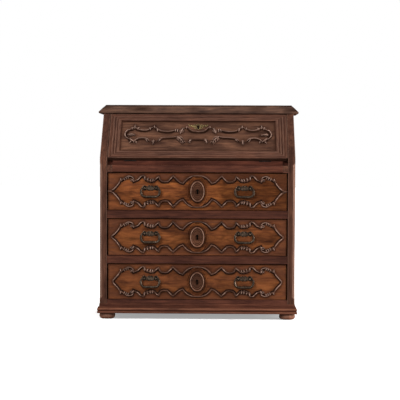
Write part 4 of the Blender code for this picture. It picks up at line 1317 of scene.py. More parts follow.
    def base(self) -> None:
        """Makes the moulded base frame, mitred at the front corners and flush at the back."""
        low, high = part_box("base_frame")
        lay = self.layout
        section = self.base_section((lay.front - low.y) * self.base_trim, high.z - low.z + self.base_drop)
        corners = [(-lay.outer, high.y), (-lay.outer, lay.front), (lay.outer, lay.front), (lay.outer, high.y)]
        path = []
        for start, end in zip(corners, corners[1:]):
            start, end = Vector(start), Vector(end)
            pieces = round((end - start).length / 0.06)
            path += [start.lerp(end, step / pieces) for step in range(pieces)]
        path.append(Vector(corners[-1]))
        form = Form()
        form.sweep(path, section, Matrix.Translation((0.0, 0.0, low.z - self.base_drop)), False)
        inside = lay.outer - self.base_depth
        form.board((-inside, high.y - self.base_depth, low.z), (inside, high.y, high.z - 0.0002))
        form.piece("base_moulding", WALNUT_BASE, self.body, "base_frame")

    def feet(self) -> None:
        """Makes the four turned bun feet."""
        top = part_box("base_frame")[0].z
        # Painted shade where the foot meets the base and round its foot on the floor.
        shares = [(0, top), (0.88, top, 0, 1), (0.91, top - 0.0012, 0, 0.7)]
        for step in range(17):
            angle = math.radians(62 - 134 * step / 16)
            # Painted highlight on the bulge's upper front.
            wear = 0.9 * max(0.0, math.cos(angle - 0.4)) ** 4
            shares.append((0.60 + 0.40 * math.cos(angle), 0.0150 + 0.0157 * math.sin(angle), wear))
        shares += [(0.70, 0.0, 0.2, 0.5), (0, 0.0)]
        for node in ("foot_front_left", "foot_front_right", "foot_rear_left", "foot_rear_right"):
            low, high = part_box(node)
            middle = (low + high) / 2
            radius = (high.x - low.x) / 2 * self.foot_swell
            profile = stations(*shares, size=radius)
            form = Form()
            form.lathe(profile, self.foot_steps, Matrix.Translation((middle.x, middle.y, 0.0)))
            form.piece(node.replace("foot", "bun_foot"), WALNUT_FOOT, self.body, node)

    def boards(self) -> None:
        """Makes the bottom board and the desk board, which is notched over each loper."""
        reach = self.layout.inner - SEAT
        low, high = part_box("bottom_board")
        form = Form()
        form.board((-reach, low.y, low.z), (reach, high.y, high.z), self.arris, rub_and_highlight=0.0)
        form.piece("floor_board", WALNUT_LEDGE, self.body, "bottom_board")
        low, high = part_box("desk_board")
        notch = 0.012
        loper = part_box("loper_right")[0].x - LOPER_PLAY
        form = Form()
        verts = form.board((-loper, low.y, low.z), (loper, high.y, high.z), self.arris)
        # The desk's front edge, under the flap, is painted darker and never pale: painted shade.
        for vert in verts:
            if vert.co.y < low.y + 2 * self.arris:
                vert[form.wear] = 0.0
                vert[form.dirt] = 0.15
        form.board_pair(loper, reach, (low.y + notch, low.z), (high.y, high.z), self.arris)
        form.piece("desk_top", WALNUT_DESK, self.body, "desk_board")

    def rails(self) -> None:
        """Makes the drawer rails with their runners, and the top rail with its loper ledges."""
        reach = self.layout.inner - SEAT
        runner, guide_width, shade_height = 0.030, 0.017, 0.003
        for place in ("lower", "upper"):
            node = f"{place}_drawer_rail"
            low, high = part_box(node)
            inside = low.y + self.rail_depth
            form = Form()
            for vert in form.board((-reach, low.y, low.z), (reach, inside, high.z), self.arris, rub_and_highlight=0.0):
                # Painted shade along the rail's top, in the gap under the drawer above.
                vert[form.dirt] = 0.6 * math.exp(-(high.z - vert.co.z) / shade_height)
            form.board_pair(reach - runner, reach, (inside, low.z), (high.y, high.z), self.arris)
            form.piece(f"{place}_rail", WALNUT_RAIL, self.body, node)
        low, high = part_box("top_rail")
        inside = low.y + self.rail_depth
        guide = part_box("loper_right")[0].x - LOPER_PLAY
        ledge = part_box("loper_right")[0].z - SEAT
        form = Form()
        for vert in form.board((-guide, low.y, low.z), (guide, inside, high.z), self.arris, rub_and_highlight=0.2):
            # Painted shadow along the top rail's bottom, over the top drawer.
            vert[form.dirt] = math.exp(-(vert.co.z - low.z) / shade_height)
        form.board_pair(guide, reach, (low.y, low.z), (high.y, ledge), self.arris)
        form.board_pair(guide - guide_width, guide, (inside, low.z), (high.y, high.z), self.arris)
        form.piece("loper_rail", WALNUT_LEDGE, self.body, "top_rail")

    def back(self) -> None:
        """Makes the back of upright pine planks."""
        low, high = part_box("back_panel")
        width = (high.x - low.x) / self.planks
        form = Form()
        for number in range(self.planks):
            left = low.x + number * width
            right = left + width
            set_back = 0.0006 * (number % 2)
            for vert in form.board((left, low.y, low.z), (right, high.y - set_back, high.z), 0.0022, rub_and_highlight=0.0):
                gap = min(vert.co.x - left, right - vert.co.x)
                vert[form.dirt] = math.exp(-gap / 0.002)
        form.piece("back_planks", PINE_UPRIGHT, self.body, "back_panel")

    def stop_rail(self) -> None:
        """Makes the rail that the flap shuts against, from its five-sided section."""
        low = box_in("flap_stop_rail", FLAP_FACE)[0]
        reach = self.layout.inner - SEAT
        flap_end = box_in("flap_frame", FLAP_FACE)[1].y + 0.0025
        top = self.layout.under_top
        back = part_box("flap_stop_rail")[1].y
        section = [FLAP_FACE @ Vector((0, low.y, -SEAT))]
        section += [Vector((0, back, section[0].z)), Vector((0, back, top))]
        cover = FLAP_FACE @ Vector((0, flap_end, 0.012))
        section += [Vector((0, cover.y, top)), cover, FLAP_FACE @ Vector((0, flap_end, -SEAT))]
        form = Form()
        rings = []
        for step in range(25):
            x = -reach + 2 * reach * step / 24
            rings.append([form.vert(Vector((x, point.y, point.z)), 0.2) for point in section])
        form.skin(rings)
        form.piece("flap_stop", WALNUT_ACROSS, self.body, "flap_stop_rail")

    def gallery(self) -> None:
        """Makes the pigeonholes: a shelf, two dividers under it and four over it."""
        low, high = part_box("gallery")
        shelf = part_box("small_drawer_right")[1].z + 0.003
        board, arris = 0.008, 0.0016
        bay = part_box("small_drawer_right")[0].x - 0.0055
        form = Form()
        form.board((low.x, low.y, shelf), (high.x, high.y, shelf + board), arris)
        dividers = [(middle, low.z, shelf) for middle in (-bay, bay)]
        dividers += [(low.x + (high.x - low.x) * number / 5, shelf + board, high.z) for number in range(1, 5)]
        for middle, foot, head in dividers:
            form.board((middle - board / 2, low.y, foot), (middle + board / 2, high.y, head), arris)
        form.piece("pigeonholes", WALNUT_DEEP, self.body, "gallery")


@dataclass
class Hinge:
    """A butt hinge between the desk and the flap: plates, knuckles and screws."""

    label: str
    proud: float = 0.0002
    radius: float = 0.0034
    screws: int = 3

    def build(self) -> None:
        """Makes the desk's leaf and the flap's leaf."""
        axis = Matrix.Translation(FLAP_HINGE["pos_m"])
        self.leaf(f"desk_hinge_{self.label}", "desk_leaf", axis, "carcase", True)
        self.leaf(f"flap_hinge_{self.label}", "flap_leaf", FLAP_FACE, "flap", False)

    def leaf(self, node: str, name: str, face: Matrix, body: str, fixed: bool) -> None:
        """Makes one leaf.

        Args:
            node: The node that it stands for.
            name: What it is called.
            face: The matrix of the board that it is let into.
            body: The body that it rides on.
            fixed: Whether it is the desk's leaf, with the outer knuckles.
        """
        low, high = box_in(node, face)
        middle = (low.x + high.x) / 2
        half = (high.x - low.x) / 2
        radius = self.radius
        show = self.proud if fixed else -self.proud
        levels = sorted((show, -0.002 if fixed else 0.002))
        form = Form()
        form.board((low.x, radius * 0.6, levels[0]), (high.x, high.y, levels[1]), 0.0004, 0.02, face)
        third = 2 * half / 3
        spans = ((-half, -half + third), (half - third, half)) if fixed else ((-half + third, half - third),)
        for start, end in spans:
            along = face @ Matrix.Translation((middle + start + 0.0002, 0, 0)) @ LAID_ALONG
            length = end - start - 0.0004
            profile = stations(
                (0, 0), (radius * 0.85, 0, 0, 1), (radius, radius * 0.15, 0, 0.8),
                (radius, length - radius * 0.15, 0, 0.8), (radius * 0.85, length, 0, 1), (0, length),
            )
            form.lathe(profile, 20, along)
        for number in range(self.screws):
            place = Matrix.Translation((middle + (number - 1) * half * 0.62, high.y * 0.62, show))
            turn = Matrix() if fixed else Matrix.Rotation(math.pi, 4, "X")
            form.screw(face @ place @ turn @ Matrix.Rotation(0.7 + number, 4, "Z"), 0.003)
        form.piece(f"{name}_{self.label}", IRON, body, node)


@dataclass
class Lock:
    """A lock: an iron case with screws, and the bolt that slides out of it into its keeper."""

    prefix: str
    carrier: str
    keeper: str
    face: Matrix
    outward: float
    run: float = 0.0004
    screw_reach: float = 0.032

    def build(self) -> None:
        """Makes the case and the bolt, with the bolt's way through the case and into the keeper."""
        case = self.case()
        low, high = box_in(f"{self.prefix}_bolt", self.face)
        form = Form()
        form.board(low, high, 0.0007, 0.015, self.face)
        form.piece(f"{self.prefix}_lock_bolt", IRON, f"{self.prefix}_bolt", f"{self.prefix}_bolt")
        throw = joint_named(f"{self.prefix}_bolt_slide")["range_m"][1]
        play = Vector((self.run, self.run))
        outline = corners_of(low.xy - play, high.xy + Vector((0.0, throw)) + play)
        for piece in (case, bpy.data.objects[self.keeper]):
            cut_out(piece, outline, self.face, low.z - self.run, high.z + self.run)

    def case(self) -> bpy.types.Object:
        """Makes the case, bright where it shows and black with old oil on its hidden face.

        Returns:
            The case.
        """
        low, high = box_in(f"{self.prefix}_lock", self.face)
        shown = low.z if self.outward < 0 else high.z
        form = Form()
        proud_low = low - Vector((0, 0, 0.0002)) if self.outward < 0 else low
        sheet = self.face.inverted()
        for vert in form.board(proud_low, high, 0.0008, 0.02, self.face):
            if abs((sheet @ vert.co).z - shown) > (high.z - low.z) / 2:
                vert[form.dirt] = 1.0
                vert[form.wear] = 0.0
        middle = (low + high) / 2
        turn = Matrix.Rotation(math.pi, 4, "X") if self.outward < 0 else Matrix()
        for across in (-1, 1):
            for up in (-1, 1):
                height = middle.y + up * (high.y - low.y) * 0.32
                spot = Vector((middle.x + across * self.screw_reach, height, shown + SEAT * self.outward))
                lean = Matrix.Rotation(0.5 + across + 2 * up, 4, "Z")
                form.screw(self.face @ Matrix.Translation(spot) @ turn @ lean, 0.0034)
        return form.piece(f"{self.prefix}_lock_case", IRON, self.carrier, f"{self.prefix}_lock")


@dataclass
class Flap:
    """The sloping flap: moulded frame, sunk panel, foliate carving, brass escutcheon and lock."""

    body: str = "flap"
    keyhole: Keyhole = Keyhole(0.0072, 0.0044, 0.0160)
    carve_width: float = 0.0080
    carve_height: float = 0.0085
    leaf_bend: float = 15.0
    escutcheon_half: tuple[float, float] = (0.050, 0.021)
    reeds: Rows = ((0.20, 0.40, 0.0002, 0.0014), (0.43, 0.60, 0.0006, 0.0030), (0.63, 0.86, 0.0010, 0.0016))
    # Each stroke: width share, crest paleness (wear and a painted highlight, strongest where the stroke faces
    # the light), points.
    strokes: Strokes = (
        (1.1, 1.0, (
            (0.338, 0.129), (0.352, 0.139), (0.359, 0.153), (0.358, 0.169), (0.350, 0.182), (0.336, 0.192),
        )),
        (0.9, 0.5, ((0.342, 0.188), (0.326, 0.195), (0.316, 0.209))),
        (0.9, 0.6, (
            (0.317, 0.211), (0.306, 0.194), (0.290, 0.186), (0.270, 0.183), (0.247, 0.188), (0.219, 0.214),
        )),
        (0.9, 0.5, (
            (0.220, 0.214), (0.207, 0.194), (0.188, 0.180), (0.162, 0.175), (0.134, 0.177), (0.102, 0.192),
        )),
        (0.9, 0.4, (
            (0.066, 0.207), (0.053, 0.203), (0.043, 0.190), (0.030, 0.179), (0.014, 0.1755),
            (-0.012, 0.175),
        )),
        (1.1, 1.0, ((0.346, 0.133), (0.333, 0.117), (0.316, 0.105))),
        (0.9, 0.7, (
            (0.319, 0.104), (0.309, 0.117), (0.296, 0.127), (0.276, 0.131), (0.256, 0.126), (0.238, 0.110),
        )),
        (0.9, 0.4, (
            (0.206, 0.110), (0.190, 0.125), (0.172, 0.132), (0.146, 0.135), (0.118, 0.137), (0.098, 0.146),
        )),
        (0.8, 0.1, ((0.042, 0.1235), (0.018, 0.124), (-0.012, 0.124))),
    )
    leaves: Rows = (
        (0.325, 0.192, 62, 0.020, 0.010), (0.303, 0.190, 118, 0.020, 0.010),
        (0.2015, 0.180, 80, 0.020, 0.010), (0.237, 0.190, 70, 0.018, 0.009),
        (0.262, 0.128, 235, 0.023, 0.010), (0.184, 0.128, 300, 0.020, 0.010),
        (0.101, 0.176, 84, 0.022, 0.010), (0.115, 0.179, 112, 0.020, 0.010),
        (0.330, 0.116, 292, 0.020, 0.009), (0.309, 0.116, 250, 0.020, 0.009),
        (0.057, 0.200, 75, 0.016, 0.009),
    )
    fronds: Rows = (
        (0.352, 0.157, 182, 0.040, 0, 3), (0.316, 0.198, 90, 0.028, 0, 2),
        (0.219, 0.204, 90, 0.020, 0, 2), (0.090, 0.165, 118, 0.044, -14, 3),
        (0.222, 0.125, 270, 0.034, 0, 2), (0.106, 0.150, 232, 0.062, 6, 4),
        (0.034, 0.134, 290, 0.034, -8, 2),
    )

    def build(self) -> None:
        """Makes every piece of the flap."""
        self.frame_members()
        line = self.carving()
        self.panel(line)
        self.escutcheon()
        Lock("flap", self.body, "flap_stop", FLAP_FACE, -1.0).build()

    def member_section(self, thickness: float, ground: float) -> list[Station]:
        """Draws the frame's section: a flat band, three reeds and a step down to the panel.

        Args:
            thickness: The height of the frame's face over its inner side.
            ground: The height of the panel's face.

        Returns:
            The section as shares of the member's width, from its outer edge inwards.
        """
        # The reed crests are painted pale, a painted highlight; their grooves and the step down to the panel are
        # painted dark, painted shade.
        section = [*stations((0.0, 0.0, 0.3), (0.0, thickness - 0.0014, 0.5), (0.012, thickness - 0.0003, 1))]
        section += stations((0.035, thickness, 0.5), (0.07, thickness))
        for start, end, drop, depth in self.reeds:
            section += stations((start - 0.020, thickness - drop), (start, thickness - drop - depth, 0, 1))
            for step in range(5):
                angle = math.pi * step / 4
                share = start + (end - start) * (0.14 + 0.86 * (1 - math.cos(angle)) / 2)
                rise = thickness - drop - 0.0012 + 0.0012 * math.sin(angle)
                section.append(Station(share, rise, 0.45 * math.sin(angle)))
        section += stations((0.885, thickness - 0.0022, 0.4), (0.90, thickness - 0.0034, 0, 0.7))
        section += stations((0.912, ground + 0.0010, 0, 1), (0.955, ground + 0.0006, 0, 0.9))
        return section + [Station(1.0, ground - 0.001, 0, 1), Station(1.0, 0.0)]

    def frame_members(self) -> None:
        """Makes two stiles and two rails, mitred where their mouldings meet."""
        low, high = box_in("flap_frame", FLAP_FACE)
        sunk_low, sunk_high = box_in("flap_panel", FLAP_FACE)
        section = self.member_section(high.z, sunk_high.z)
        outer = corners_of(low, high)
        inner = corners_of(sunk_low, sunk_high)
        rails, stiles = Form(), Form()
        for corner, form in enumerate((rails, stiles, rails, stiles)):
            following = (corner + 1) % 4
            rings = []
            pieces = 30 if form is rails else 10
            for step in range(pieces + 1):
                ring = []
                for point in section:
                    start = outer[corner].lerp(inner[corner], point.out)
                    end = outer[following].lerp(inner[following], point.out)
                    spot = start.lerp(end, step / pieces)
                    shadow_and_grime = point.dirt
                    # The flap's bottom face is painted dark as painted shade; the top rail's reeds keep less of
                    # the painted dark, the stiles a little less.
                    if corner == 0 and point.out == 0.0:
                        shadow_and_grime = 0.95
                    elif corner == 2 and point.out < 0.85:
                        shadow_and_grime *= 0.25
                    elif corner % 2:
                        shadow_and_grime *= 0.6
                    ring.append(form.vert(FLAP_FACE @ Vector((spot.x, spot.y, point.up)), point.wear, shadow_and_grime))
                rings.append(ring)
            form.skin(rings)
        rails.piece("flap_rails", WALNUT_ACROSS, self.body, "flap_frame")
        stiles.piece("flap_stiles", WALNUT_SLOPE, self.body)

    def carving(self) -> list[Vector]:
        """Carves the long foliate cartouche.

        Returns:
            Points along the carving, in place.
        """
        ground = box_in("flap_panel", FLAP_FACE)[1].z
        sheet = FLAP_FACE @ Matrix.Translation((0.0, 0.0, ground))
        form = Form()
        carver = Carver(form, sheet, ((1, 1), (-1, 1)))
        paths = []
        for swell, rub_and_highlight, stroke in self.strokes:
            paths.append(smooth_curve(stroke, 7))
            carver.stroke(paths[-1], self.carve_width * swell, self.carve_height, 0.16, STROKE, rub_and_highlight)
        for *root, heading, length, width in self.leaves:
            carver.leaf(Sprig(*root, heading, length, self.leaf_bend), width, 0.7)
        for *sprig, pairs in self.fronds:
            paths.append(carver.frond(Sprig(*sprig), pairs, 1.0))
        points = [point for path in paths for point in path]
        line = [sheet @ Vector((side * point.x, point.y, 0.0)) for side in (-1, 1) for point in points]
        form.piece("foliate_carving", CARVED, self.body, "flap_carving")
        return line

    def panel(self, line: list[Vector]) -> None:
        """Makes the sunk panel, with painted shadow round its edge and grime and painted shade beside the
        carving.

        Args:
            line: Points along the carving, in place.
        """
        low, high = box_in("flap_panel", FLAP_FACE)
        form = Form()
        verts = form.board(low, high, 0.0008, 0.009, FLAP_FACE)
        back = FLAP_FACE.inverted()
        shown = [vert for vert in verts if (back @ vert.co).z > high.z - 0.001]
        form.darken_near_line(shown, line, 0.012, 0.62)
        for vert in shown:
            spot = back @ vert.co
            # Painted shadow cast by the frame along the panel's edges, deepest under the top rail.
            edge = min(spot.x - low.x, high.x - spot.x, spot.y - low.y)
            darkness = max(0.55 * math.exp(-edge / 0.005), 0.90 * math.exp(-(high.y - spot.y) / 0.008))
            vert[form.dirt] = max(vert[form.dirt], darkness)
            vert[form.wear] = 0.0
        panel = form.piece("flap_field", WALNUT_PANEL, self.body, "flap_panel")
        self.keyhole.pierce(panel, self.key_sheet())

    def key_sheet(self) -> Matrix:
        """Lays a sheet on the flap with its origin on the keyhole's round part."""
        low, high = box_in("flap_escutcheon", FLAP_FACE)
        return FLAP_FACE @ Matrix.Translation((0.0, (low.y + high.y) / 2, low.z))

    def escutcheon(self) -> None:
        """Makes the winged brass plate round the keyhole, domed and pinned at both wings."""
        shares = (
            (0.00, 1.00), (0.12, 0.86), (0.21, 0.62), (0.30, 0.78), (0.42, 0.70), (0.56, 0.50),
            (0.74, 0.60), (1.00, 0.78), (0.93, 0.38), (0.78, 0.12), (0.62, -0.06), (0.47, -0.16),
            (0.38, -0.46), (0.27, -0.72), (0.14, -0.72), (0.00, -1.00),
        )
        width, height = self.escutcheon_half
        # The rim is painted pale, wear and a painted highlight; the outer edge and the groove inside the rim are
        # painted dark, tarnish and painted shade.
        levels = stations(
            (1.0, 0.0, 0, 1), (1.0, 0.0010, 0.3, 0.2), (0.955, 0.0017, 1), (0.90, 0.0016, 0.4),
            (0.84, 0.0012, 0, 1), (0.76, 0.0019, 0.1, 0.2), (0.55, 0.0028, 0.4), (0.34, 0.0032, 0.3),
            (0.0, 0.0033, 0, 1),
        )
        pin = stations((0.0030, 0, 0, 1), (0.0028, 0.0012, 0.4), (0.0016, 0.0022, 1), (0, 0.0025, 1))
        form = Form()
        sheet = self.key_sheet()
        form.plate(cast_outline(shares, self.escutcheon_half), levels, sheet)
        plate = form.piece("winged_escutcheon", BRASS, self.body, "flap_escutcheon")
        self.keyhole.pierce(plate, sheet)
        form = Form()
        for side in (-1, 1):
            place = Matrix.Translation((side * width * 0.72, height * 0.30, 0.0017))
            form.lathe(pin, 14, sheet @ place)
        form.piece("escutcheon_pins", BRASS, self.body)


@dataclass
class Handle:
    """A drop handle: a scalloped plate with two turned posts, and the bail that hangs in them."""

    drawer: str
    label: str
    posts: float = 0.028
    ball: float = 0.0055
    plate_half: tuple[float, float] = (0.0435, 0.0135)

    def build(self, ground: float) -> None:
        """Makes the plate and the bail.

        Args:
            ground: The depth of the drawer front's face.
        """
        pivot = Vector(joint_named(f"{self.drawer}_bail_{self.label}_swing")["pos_m"])
        self.plate(pivot, ground)
        self.bail(pivot)

    def plate(self, pivot: Vector, ground: float) -> None:
        """Makes the cast plate with its roses and posts.

        Args:
            pivot: The middle of the bail's axis.
            ground: The depth of the drawer front's face.
        """
        node = f"{self.drawer}_plate_{self.label}"
        shares = (
            (0.00, 0.72), (0.08, 0.95), (0.16, 1.00), (0.26, 0.82), (0.38, 0.60), (0.48, 0.66),
            (0.58, 0.92), (0.70, 0.98), (0.82, 0.84), (0.88, 0.52), (1.00, 0.10), (1.00, -0.10),
            (0.88, -0.50), (0.80, -0.80), (0.68, -0.90), (0.56, -0.70), (0.44, -0.62), (0.28, -0.84),
            (0.14, -1.00), (0.00, -0.78),
        )
        sheet = Matrix.Translation((pivot.x, ground - SEAT, pivot.z)) @ UPRIGHT_FACE
        # The rim is painted pale, a painted highlight; the outer edge and the groove inside it are painted dark,
        # tarnish and painted shade.
        levels = stations(
            (1.0, 0.0, 0, 1), (1.0, 0.0012, 0, 0.8), (0.96, 0.0020, 0.7), (0.90, 0.0022, 0.3),
            (0.84, 0.0016, 0, 0.9), (0.70, 0.0022, 0.2), (0.40, 0.0028, 0.4), (0.0, 0.0030, 0.5),
        )
        form = Form()
        form.plate(cast_outline(shares, self.plate_half), levels, sheet)
        stand = ground - SEAT - pivot.y
        profile = [*stations(
            (0, 0.0004), (0.0092, 0.0004, 0, 1), (0.0092, 0.0024, 0, 1), (0.0082, 0.0034, 0.5),
            (0.0072, 0.0034, 0, 0.8), (0.0062, 0.0026, 0, 1), (0.0052, 0.0036, 0, 0.8),
            (0.0040, 0.0044, 0, 0.8),
        )]
        for step in range(8):
            angle = math.radians(-46 + 136 * step / 8)
            out, up = self.ball * math.cos(angle), self.ball * math.sin(angle)
            # Painted highlight on the top of each post's ball.
            profile.append(Station(out, stand + up, 0.7 * max(0, math.sin(angle))))
        profile.append(Station(0, stand + self.ball, 0.8))
        for side in (-1, 1):
            form.lathe(profile, 24, sheet @ Matrix.Translation((side * self.posts, 0.0, 0.0)))
        form.piece(f"{self.drawer}_handle_{self.label}", BRONZE, self.drawer, node)

    def bail(self, pivot: Vector) -> None:
        """Makes the hanging bail: pins, bowed arms and a swelling grip with a collar at each side.

        Args:
            pivot: The middle of its axis.
        """
        node = f"{self.drawer}_bail_{self.label}"
        knots = (
            (0.0256, 0.0), (0.0320, 0.0), (0.0385, -0.0012), (0.0440, -0.0082), (0.0455, -0.0200),
            (0.0420, -0.0330), (0.0335, -0.0400), (0.0200, -0.0418), (0.0, -0.0420),
        )
        swell = (0.0020, 0.0020, 0.0030, 0.0048, 0.0059, 0.0059, 0.0055, 0.0061, 0.0067)
        steps = 6
        collar = 38
        right = smooth_curve(knots, steps)
        radii = []
        for index in range(len(right)):
            place = index / steps
            whole = min(int(place), len(swell) - 2)
            radius = swell[whole] + (swell[whole + 1] - swell[whole]) * (place - whole)
            radii.append(radius + 0.0009 * math.exp(-(((index - collar) / 1.1) ** 2)))
        left = [Vector((-point.x, point.y)) for point in reversed(right[:-1])]
        points = [pivot + Vector((point.x, 0.0, point.y)) for point in right + left]
        radii += list(reversed(radii[:-1]))
        # How strong the painted highlight is along the bail: most at the grip.
        wear = [0.10 + 0.45 * math.sin(math.pi * k / (len(points) - 1)) for k in range(len(points))]
        form = Form()
        form.tube(points, radii, 16, wear)
        form.piece(f"{self.drawer}_drop_{self.label}", BRONZE, node, node)


@dataclass
class LongDrawer:
    """A long drawer: figured front, carved cartouche, oval keyhole boss, pine box, lock and two handles."""

    name: str
    keeper: str
    keyhole: Keyhole = Keyhole()
    edge_margin: float = 0.0145
    end_margin: float = 0.021
    boss_half: float = 0.038
    boss_clear: float = 0.0205
    key_rise: float = 0.0055
    # Each stretch: half width, crest paleness (wear and a painted highlight, strongest where the stretch faces
    # the light), points.
    stretches: Strokes = (
        (0.0047, 1.0, (
            (1.040, 0.00), (0.998, 0.06), (0.966, 0.20), (0.937, 0.38), (0.911, 0.58), (0.894, 0.78),
        )),
        (0.0030, 0.0, ((0.894, 0.78), (0.880, 0.71))),
        (0.0043, 0.8, (
            (0.880, 0.71), (0.853, 0.83), (0.818, 0.94), (0.785, 0.95), (0.757, 0.87), (0.748, 0.75),
            (0.742, 0.63),
        )),
        (0.0047, 1.0, ((0.742, 0.63), (0.695, 0.75), (0.659, 0.95), (0.630, 1.00))),
        (0.0032, 0.0, ((0.630, 1.00), (0.613, 0.84), (0.590, 0.71), (0.548, 0.64), (0.508, 0.66))),
        (0.0043, 0.9, ((0.508, 0.66), (0.470, 0.86), (0.454, 0.93))),
        (0.0032, 0.0, ((0.454, 0.93), (0.440, 0.75), (0.415, 0.63), (0.382, 0.60), (0.347, 0.62))),
        (0.0043, 1.0, ((0.347, 0.62), (0.316, 0.79), (0.284, 0.97))),
        (0.0039, 0.35, ((0.284, 0.97), (0.245, 0.77), (0.204, 0.58), (0.168, 0.51))),
        (0.0040, 0.5, ((0.168, 0.51), (0.145, 0.66), (0.110, 0.84), (0.062, 0.96), (0.000, 1.00))),
    )
    # The moulding's toes and the hollow inside its crest are painted dark: painted shade.
    moulding: tuple[Station, ...] = stations(
        (-0.0050, 0.0, 0, 1), (-0.0045, 0.0020, 0, 0.7), (-0.0034, 0.0046, 0, 0.2),
        (-0.0018, 0.0064, 0.08), (0.0, 0.0070, 0.15), (0.0016, 0.0060), (0.0028, 0.0036, 0, 0.6),
        (0.0039, 0.0016, 0, 1), (0.0060, 0.0009, 0, 1), (0.0088, 0.0, 0, 0.85),
    )
    leaves: Rows = (
        (0.612, 0.70, 78, 0.021, 0.013, 30), (0.582, 0.62, 88, 0.021, 0.013, 30),
        (0.550, 0.58, 92, 0.020, 0.013, 30), (0.520, 0.58, 84, 0.019, 0.012, 30),
        (0.742, 0.58, 75, 0.016, 0.011, -30), (0.885, 0.64, 60, 0.018, 0.010, 15),
        (0.846, 0.68, 62, 0.017, 0.009, 10), (0.824, 0.73, 66, 0.017, 0.009, 10),
        (0.802, 0.76, 70, 0.016, 0.009, 10),
    )
    tip: float = 1.0
    shade: tuple[float, float] = (0.10, 0.15)
    fade: float = 0.0
    dull: tuple[float, float] = (0.85, 0.85)
    trim: tuple[float, float, float] = (0.0022, 0.0004, 0.0026)
    low: Vector = field(init=False)
    high: Vector = field(init=False)
    middle: Vector = field(init=False)
    face: Matrix = field(init=False)
    rise: float = field(init=False)
    reach: float = field(init=False)

    def __post_init__(self) -> None:
        """Reads the front's place from the frame, and the room that it leaves for the cartouche."""
        self.low, self.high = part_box(f"{self.name}_front")
        self.middle = (self.low + self.high) / 2
        self.face = Matrix.Translation((0.0, self.low.y, self.middle.z)) @ UPRIGHT_FACE
        self.rise = (self.high.z - self.low.z) / 2 - self.edge_margin
        self.reach = self.high.x - self.end_margin

    def build(self) -> None:
        """Makes every piece of the drawer."""
        path = self.cartouche()
        self.front(path)
        self.boss()
        self.box()
        turned = Matrix.Rotation(math.pi, 4, "Z") @ UPRIGHT_FACE
        back = Matrix.Translation((0.0, self.high.y, self.middle.z)) @ turned
        Lock(self.name, self.name, self.keeper, back, 1.0).build()
        for label in ("left", "right"):
            Handle(self.name, label).build(self.low.y)

    def scaled(self, shares: Sequence[tuple[float, float]]) -> list[tuple[float, float]]:
        """Brings points of the cartouche to this drawer's size.

        Args:
            shares: The points as shares of the reach and of the rise.

        Returns:
            The points in metres, none of them beyond the cartouche's tip.
        """
        return [(min(across, self.tip) * self.reach, up * self.rise) for across, up in shares]

    def path(self) -> list[Vector]:
        """Draws the cartouche's line.

        Returns:
            The closed line, alike in all four quarters.
        """
        points = []
        for _, _, shares in self.stretches:
            points += smooth_curve(self.scaled(shares), 5)[:-1]
        top = Vector((0.0, self.rise))
        upper = points + [top] + [Vector((-point.x, point.y)) for point in reversed(points)]
        return upper + [Vector((point.x, -point.y)) for point in reversed(upper[1:-1])]

    def cartouche(self) -> list[Vector]:
        """Carves the moulding round the field, with its leaves and scrolls.

        Returns:
            Points along the moulding, in place.
        """
        path = self.path()
        sheet = self.face @ Matrix.Translation((0.0, 0.0, SEAT))
        form = Form()
        form.sweep(path, self.moulding, sheet, True)
        carver = Carver(form, sheet, ((1, 1), (-1, 1), (1, -1), (-1, -1)))
        for width, rub_and_highlight, shares in self.stretches:
            line = smooth_curve(self.scaled(shares), 6)
            carver.stroke(line, width, 0.0090, 0.35, ROUNDED, rub_and_highlight)
        for across, up, heading, length, width, bend in self.leaves:
            sprig = Sprig(across * self.reach, up * self.rise, heading, length, bend)
            carver.leaf(sprig, width, 0.6)
        carver.scroll((0.768 * self.reach, 0.73 * self.rise), 0.0082, 45, -430)
        form.piece(f"{self.name}_carving", CARVED, self.name, f"{self.name}_cartouche")
        return [self.face @ Vector((point.x, point.y, 0.0)) for point in path]

    def front(self, path: list[Vector]) -> None:
        """Makes the figured front, darkened along the moulding (grime and painted shade), with painted shadow at
        its edges.

        Args:
            path: Points along the moulding, in place.
        """
        form = Form()
        side, foot, head = self.trim
        low = self.low + Vector((side, 0, foot))
        high = self.high - Vector((side, 0, head))
        verts = form.board(low, high, 0.0018, 0.006, rub_and_highlight=0.0)
        shown = [vert for vert in verts if vert.co.y < low.y + 0.001]
        form.darken_near_line(shown, path, 0.012, 0.75)
        oval = self.rise - self.boss_clear
        outline = self.path()
        for vert in shown:
            spot = Vector((vert.co.x, vert.co.z - self.middle.z))
            edge = min(spot.x - low.x, high.x - spot.x)
            ring = max(0.0, math.hypot(spot.x / self.boss_half, spot.y / oval) - 1.0)
            share = min(max(spot.x / 0.14, 0.0), 1.0)
            shade_and_tone_marks = (
                # Darker towards one end: the figure's own tone.
                self.shade[0] + (self.shade[1] - self.shade[0]) * share,
                # Painted shadow along the top edge under the rail, and painted shade at the sides and the bottom
                # edge.
                math.exp(-(high.z - vert.co.z) / 0.005),
                math.exp(-edge / 0.003),
                0.4 * math.exp(-(vert.co.z - low.z) / 0.0015),
                # Darker round the boss.
                0.6 * math.exp(-((ring / 0.30) ** 2)),
            )
            vert[form.dirt] = max(vert[form.dirt], *shade_and_tone_marks)
            vert[form.wear] = self.dullness(spot, outline)
        front = form.piece(f"{self.name}_field", FIGURED[self.name], self.name, f"{self.name}_front")
        self.keyhole.pierce(front, self.key_sheet())

